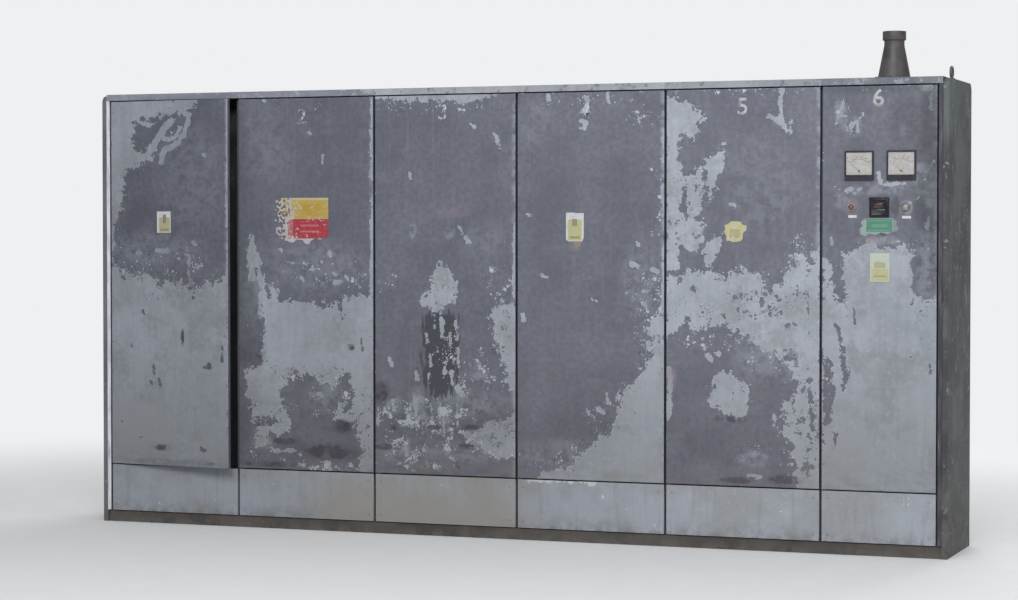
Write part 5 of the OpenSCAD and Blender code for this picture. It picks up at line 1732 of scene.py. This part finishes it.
# %% Floor
BACKDROP = (0.86, 0.87, 0.88)
FADES_FROM, FADES_TO = 3.2, 7.5
select_nothing()
bpy.ops.mesh.primitive_circle_add(vertices=96, radius=60, fill_type="NGON", location=(0, 0, 0))
floor = bpy.context.object
floor.name = "studio_floor"
grey = Finish("studio_floor")
at = grey.place()
grey.set(Base_Color=grey.blend(grey.noise(at, 6.0, 5.0, 0.6), (0.66, 0.66, 0.66), (0.72, 0.72, 0.72)),
         Roughness=0.85)
rays = grey.add("ShaderNodeLightPath").outputs
seen = grey.math("MAXIMUM", rays["Is Camera Ray"],
                 grey.math("MAXIMUM", rays["Is Glossy Ray"], rays["Is Transmission Ray"]))
away = grey.add("ShaderNodeVectorMath", {0: at}, operation="LENGTH").outputs["Value"]
fade = grey.times(seen, grey.ramp(away, FADES_FROM, FADES_TO))
glow = grey.add("ShaderNodeEmission", {"Color": (*BACKDROP, 1.0)})
mixed = grey.add("ShaderNodeMixShader", {0: fade, 1: grey.shader.outputs[0], 2: glow.outputs[0]})
grey.feed(grey.tree.nodes["Material Output"].inputs["Surface"], mixed.outputs[0])
cover(grey.material, floor)
print("floor laid, it fades out between", FADES_FROM, "and", FADES_TO, "m")

# %% Sky
world = bpy.data.worlds.new("studio_sky")
bpy.context.scene.world = world
world.use_nodes = True
SKY_LIGHT = 0.48
sky_nodes, links = world.node_tree.nodes, world.node_tree.links
sky, paper = sky_nodes["Background"], sky_nodes.new("ShaderNodeBackground")
for light, colour, strength in ((sky, (0.93, 0.96, 1.0), SKY_LIGHT), (paper, BACKDROP, 1.0)):
    light.inputs["Color"].default_value = (*colour, 1.0)
    light.inputs["Strength"].default_value = strength
path = sky_nodes.new("ShaderNodeLightPath")
either = sky_nodes.new("ShaderNodeMath")
either.operation = "MAXIMUM"
choose = sky_nodes.new("ShaderNodeMixShader")
for index, source in enumerate((path.outputs["Is Camera Ray"], path.outputs["Is Transmission Ray"])):
    links.new(source, either.inputs[index])
for index, source in enumerate((either, sky, paper)):
    links.new(source.outputs[0], choose.inputs[index])
links.new(choose.outputs[0], sky_nodes["World Output"].inputs["Surface"])
print("sky made, strength", SKY_LIGHT)


# %% Lamps
def soft_lamp(name, place, target, size, watts):
    """A square area lamp that looks at the target."""
    lamp = bpy.data.objects.new(name, bpy.data.lights.new(name, "AREA"))
    bpy.context.scene.collection.objects.link(lamp)
    lamp.data.shape = "RECTANGLE"
    lamp.data.size, lamp.data.size_y = size
    lamp.data.energy = watts
    lamp.location = place
    lamp.rotation_euler = (Vector(target) - Vector(place)).to_track_quat("-Z", "Y").to_euler()
    return lamp


soft_lamp("window_light", (1.8, -8.8, 6.5), (0.6, -0.2, 1.1), (6.0, 3.5), 760)
soft_lamp("side_light", (7.5, -4.0, 4.0), (1.5, 0.0, 1.2), (3.0, 3.0), 90)
soft_lamp("rear_light", (1.0, 8.0, 5.5), (0.0, 0.3, 1.2), (6.0, 3.0), 420)
print("lamps hung:", bpy.data.lights.keys())

# %% Camera
camera = bpy.data.objects.new("camera", bpy.data.cameras.new("camera"))
bpy.context.scene.collection.objects.link(camera)
bpy.context.scene.camera = camera
camera.location = (4.611, -12.238, 1.576)
aim = Vector((0.02, -0.15, 1.235))
camera.rotation_euler = (aim - camera.location).to_track_quat("-Z", "Y").to_euler()
camera.data.sensor_width = 36.0
camera.data.lens = 88.0
bpy.context.scene.view_settings.view_transform = "Standard"
print("camera", round((aim - camera.location).length, 2), "m from the row's middle")
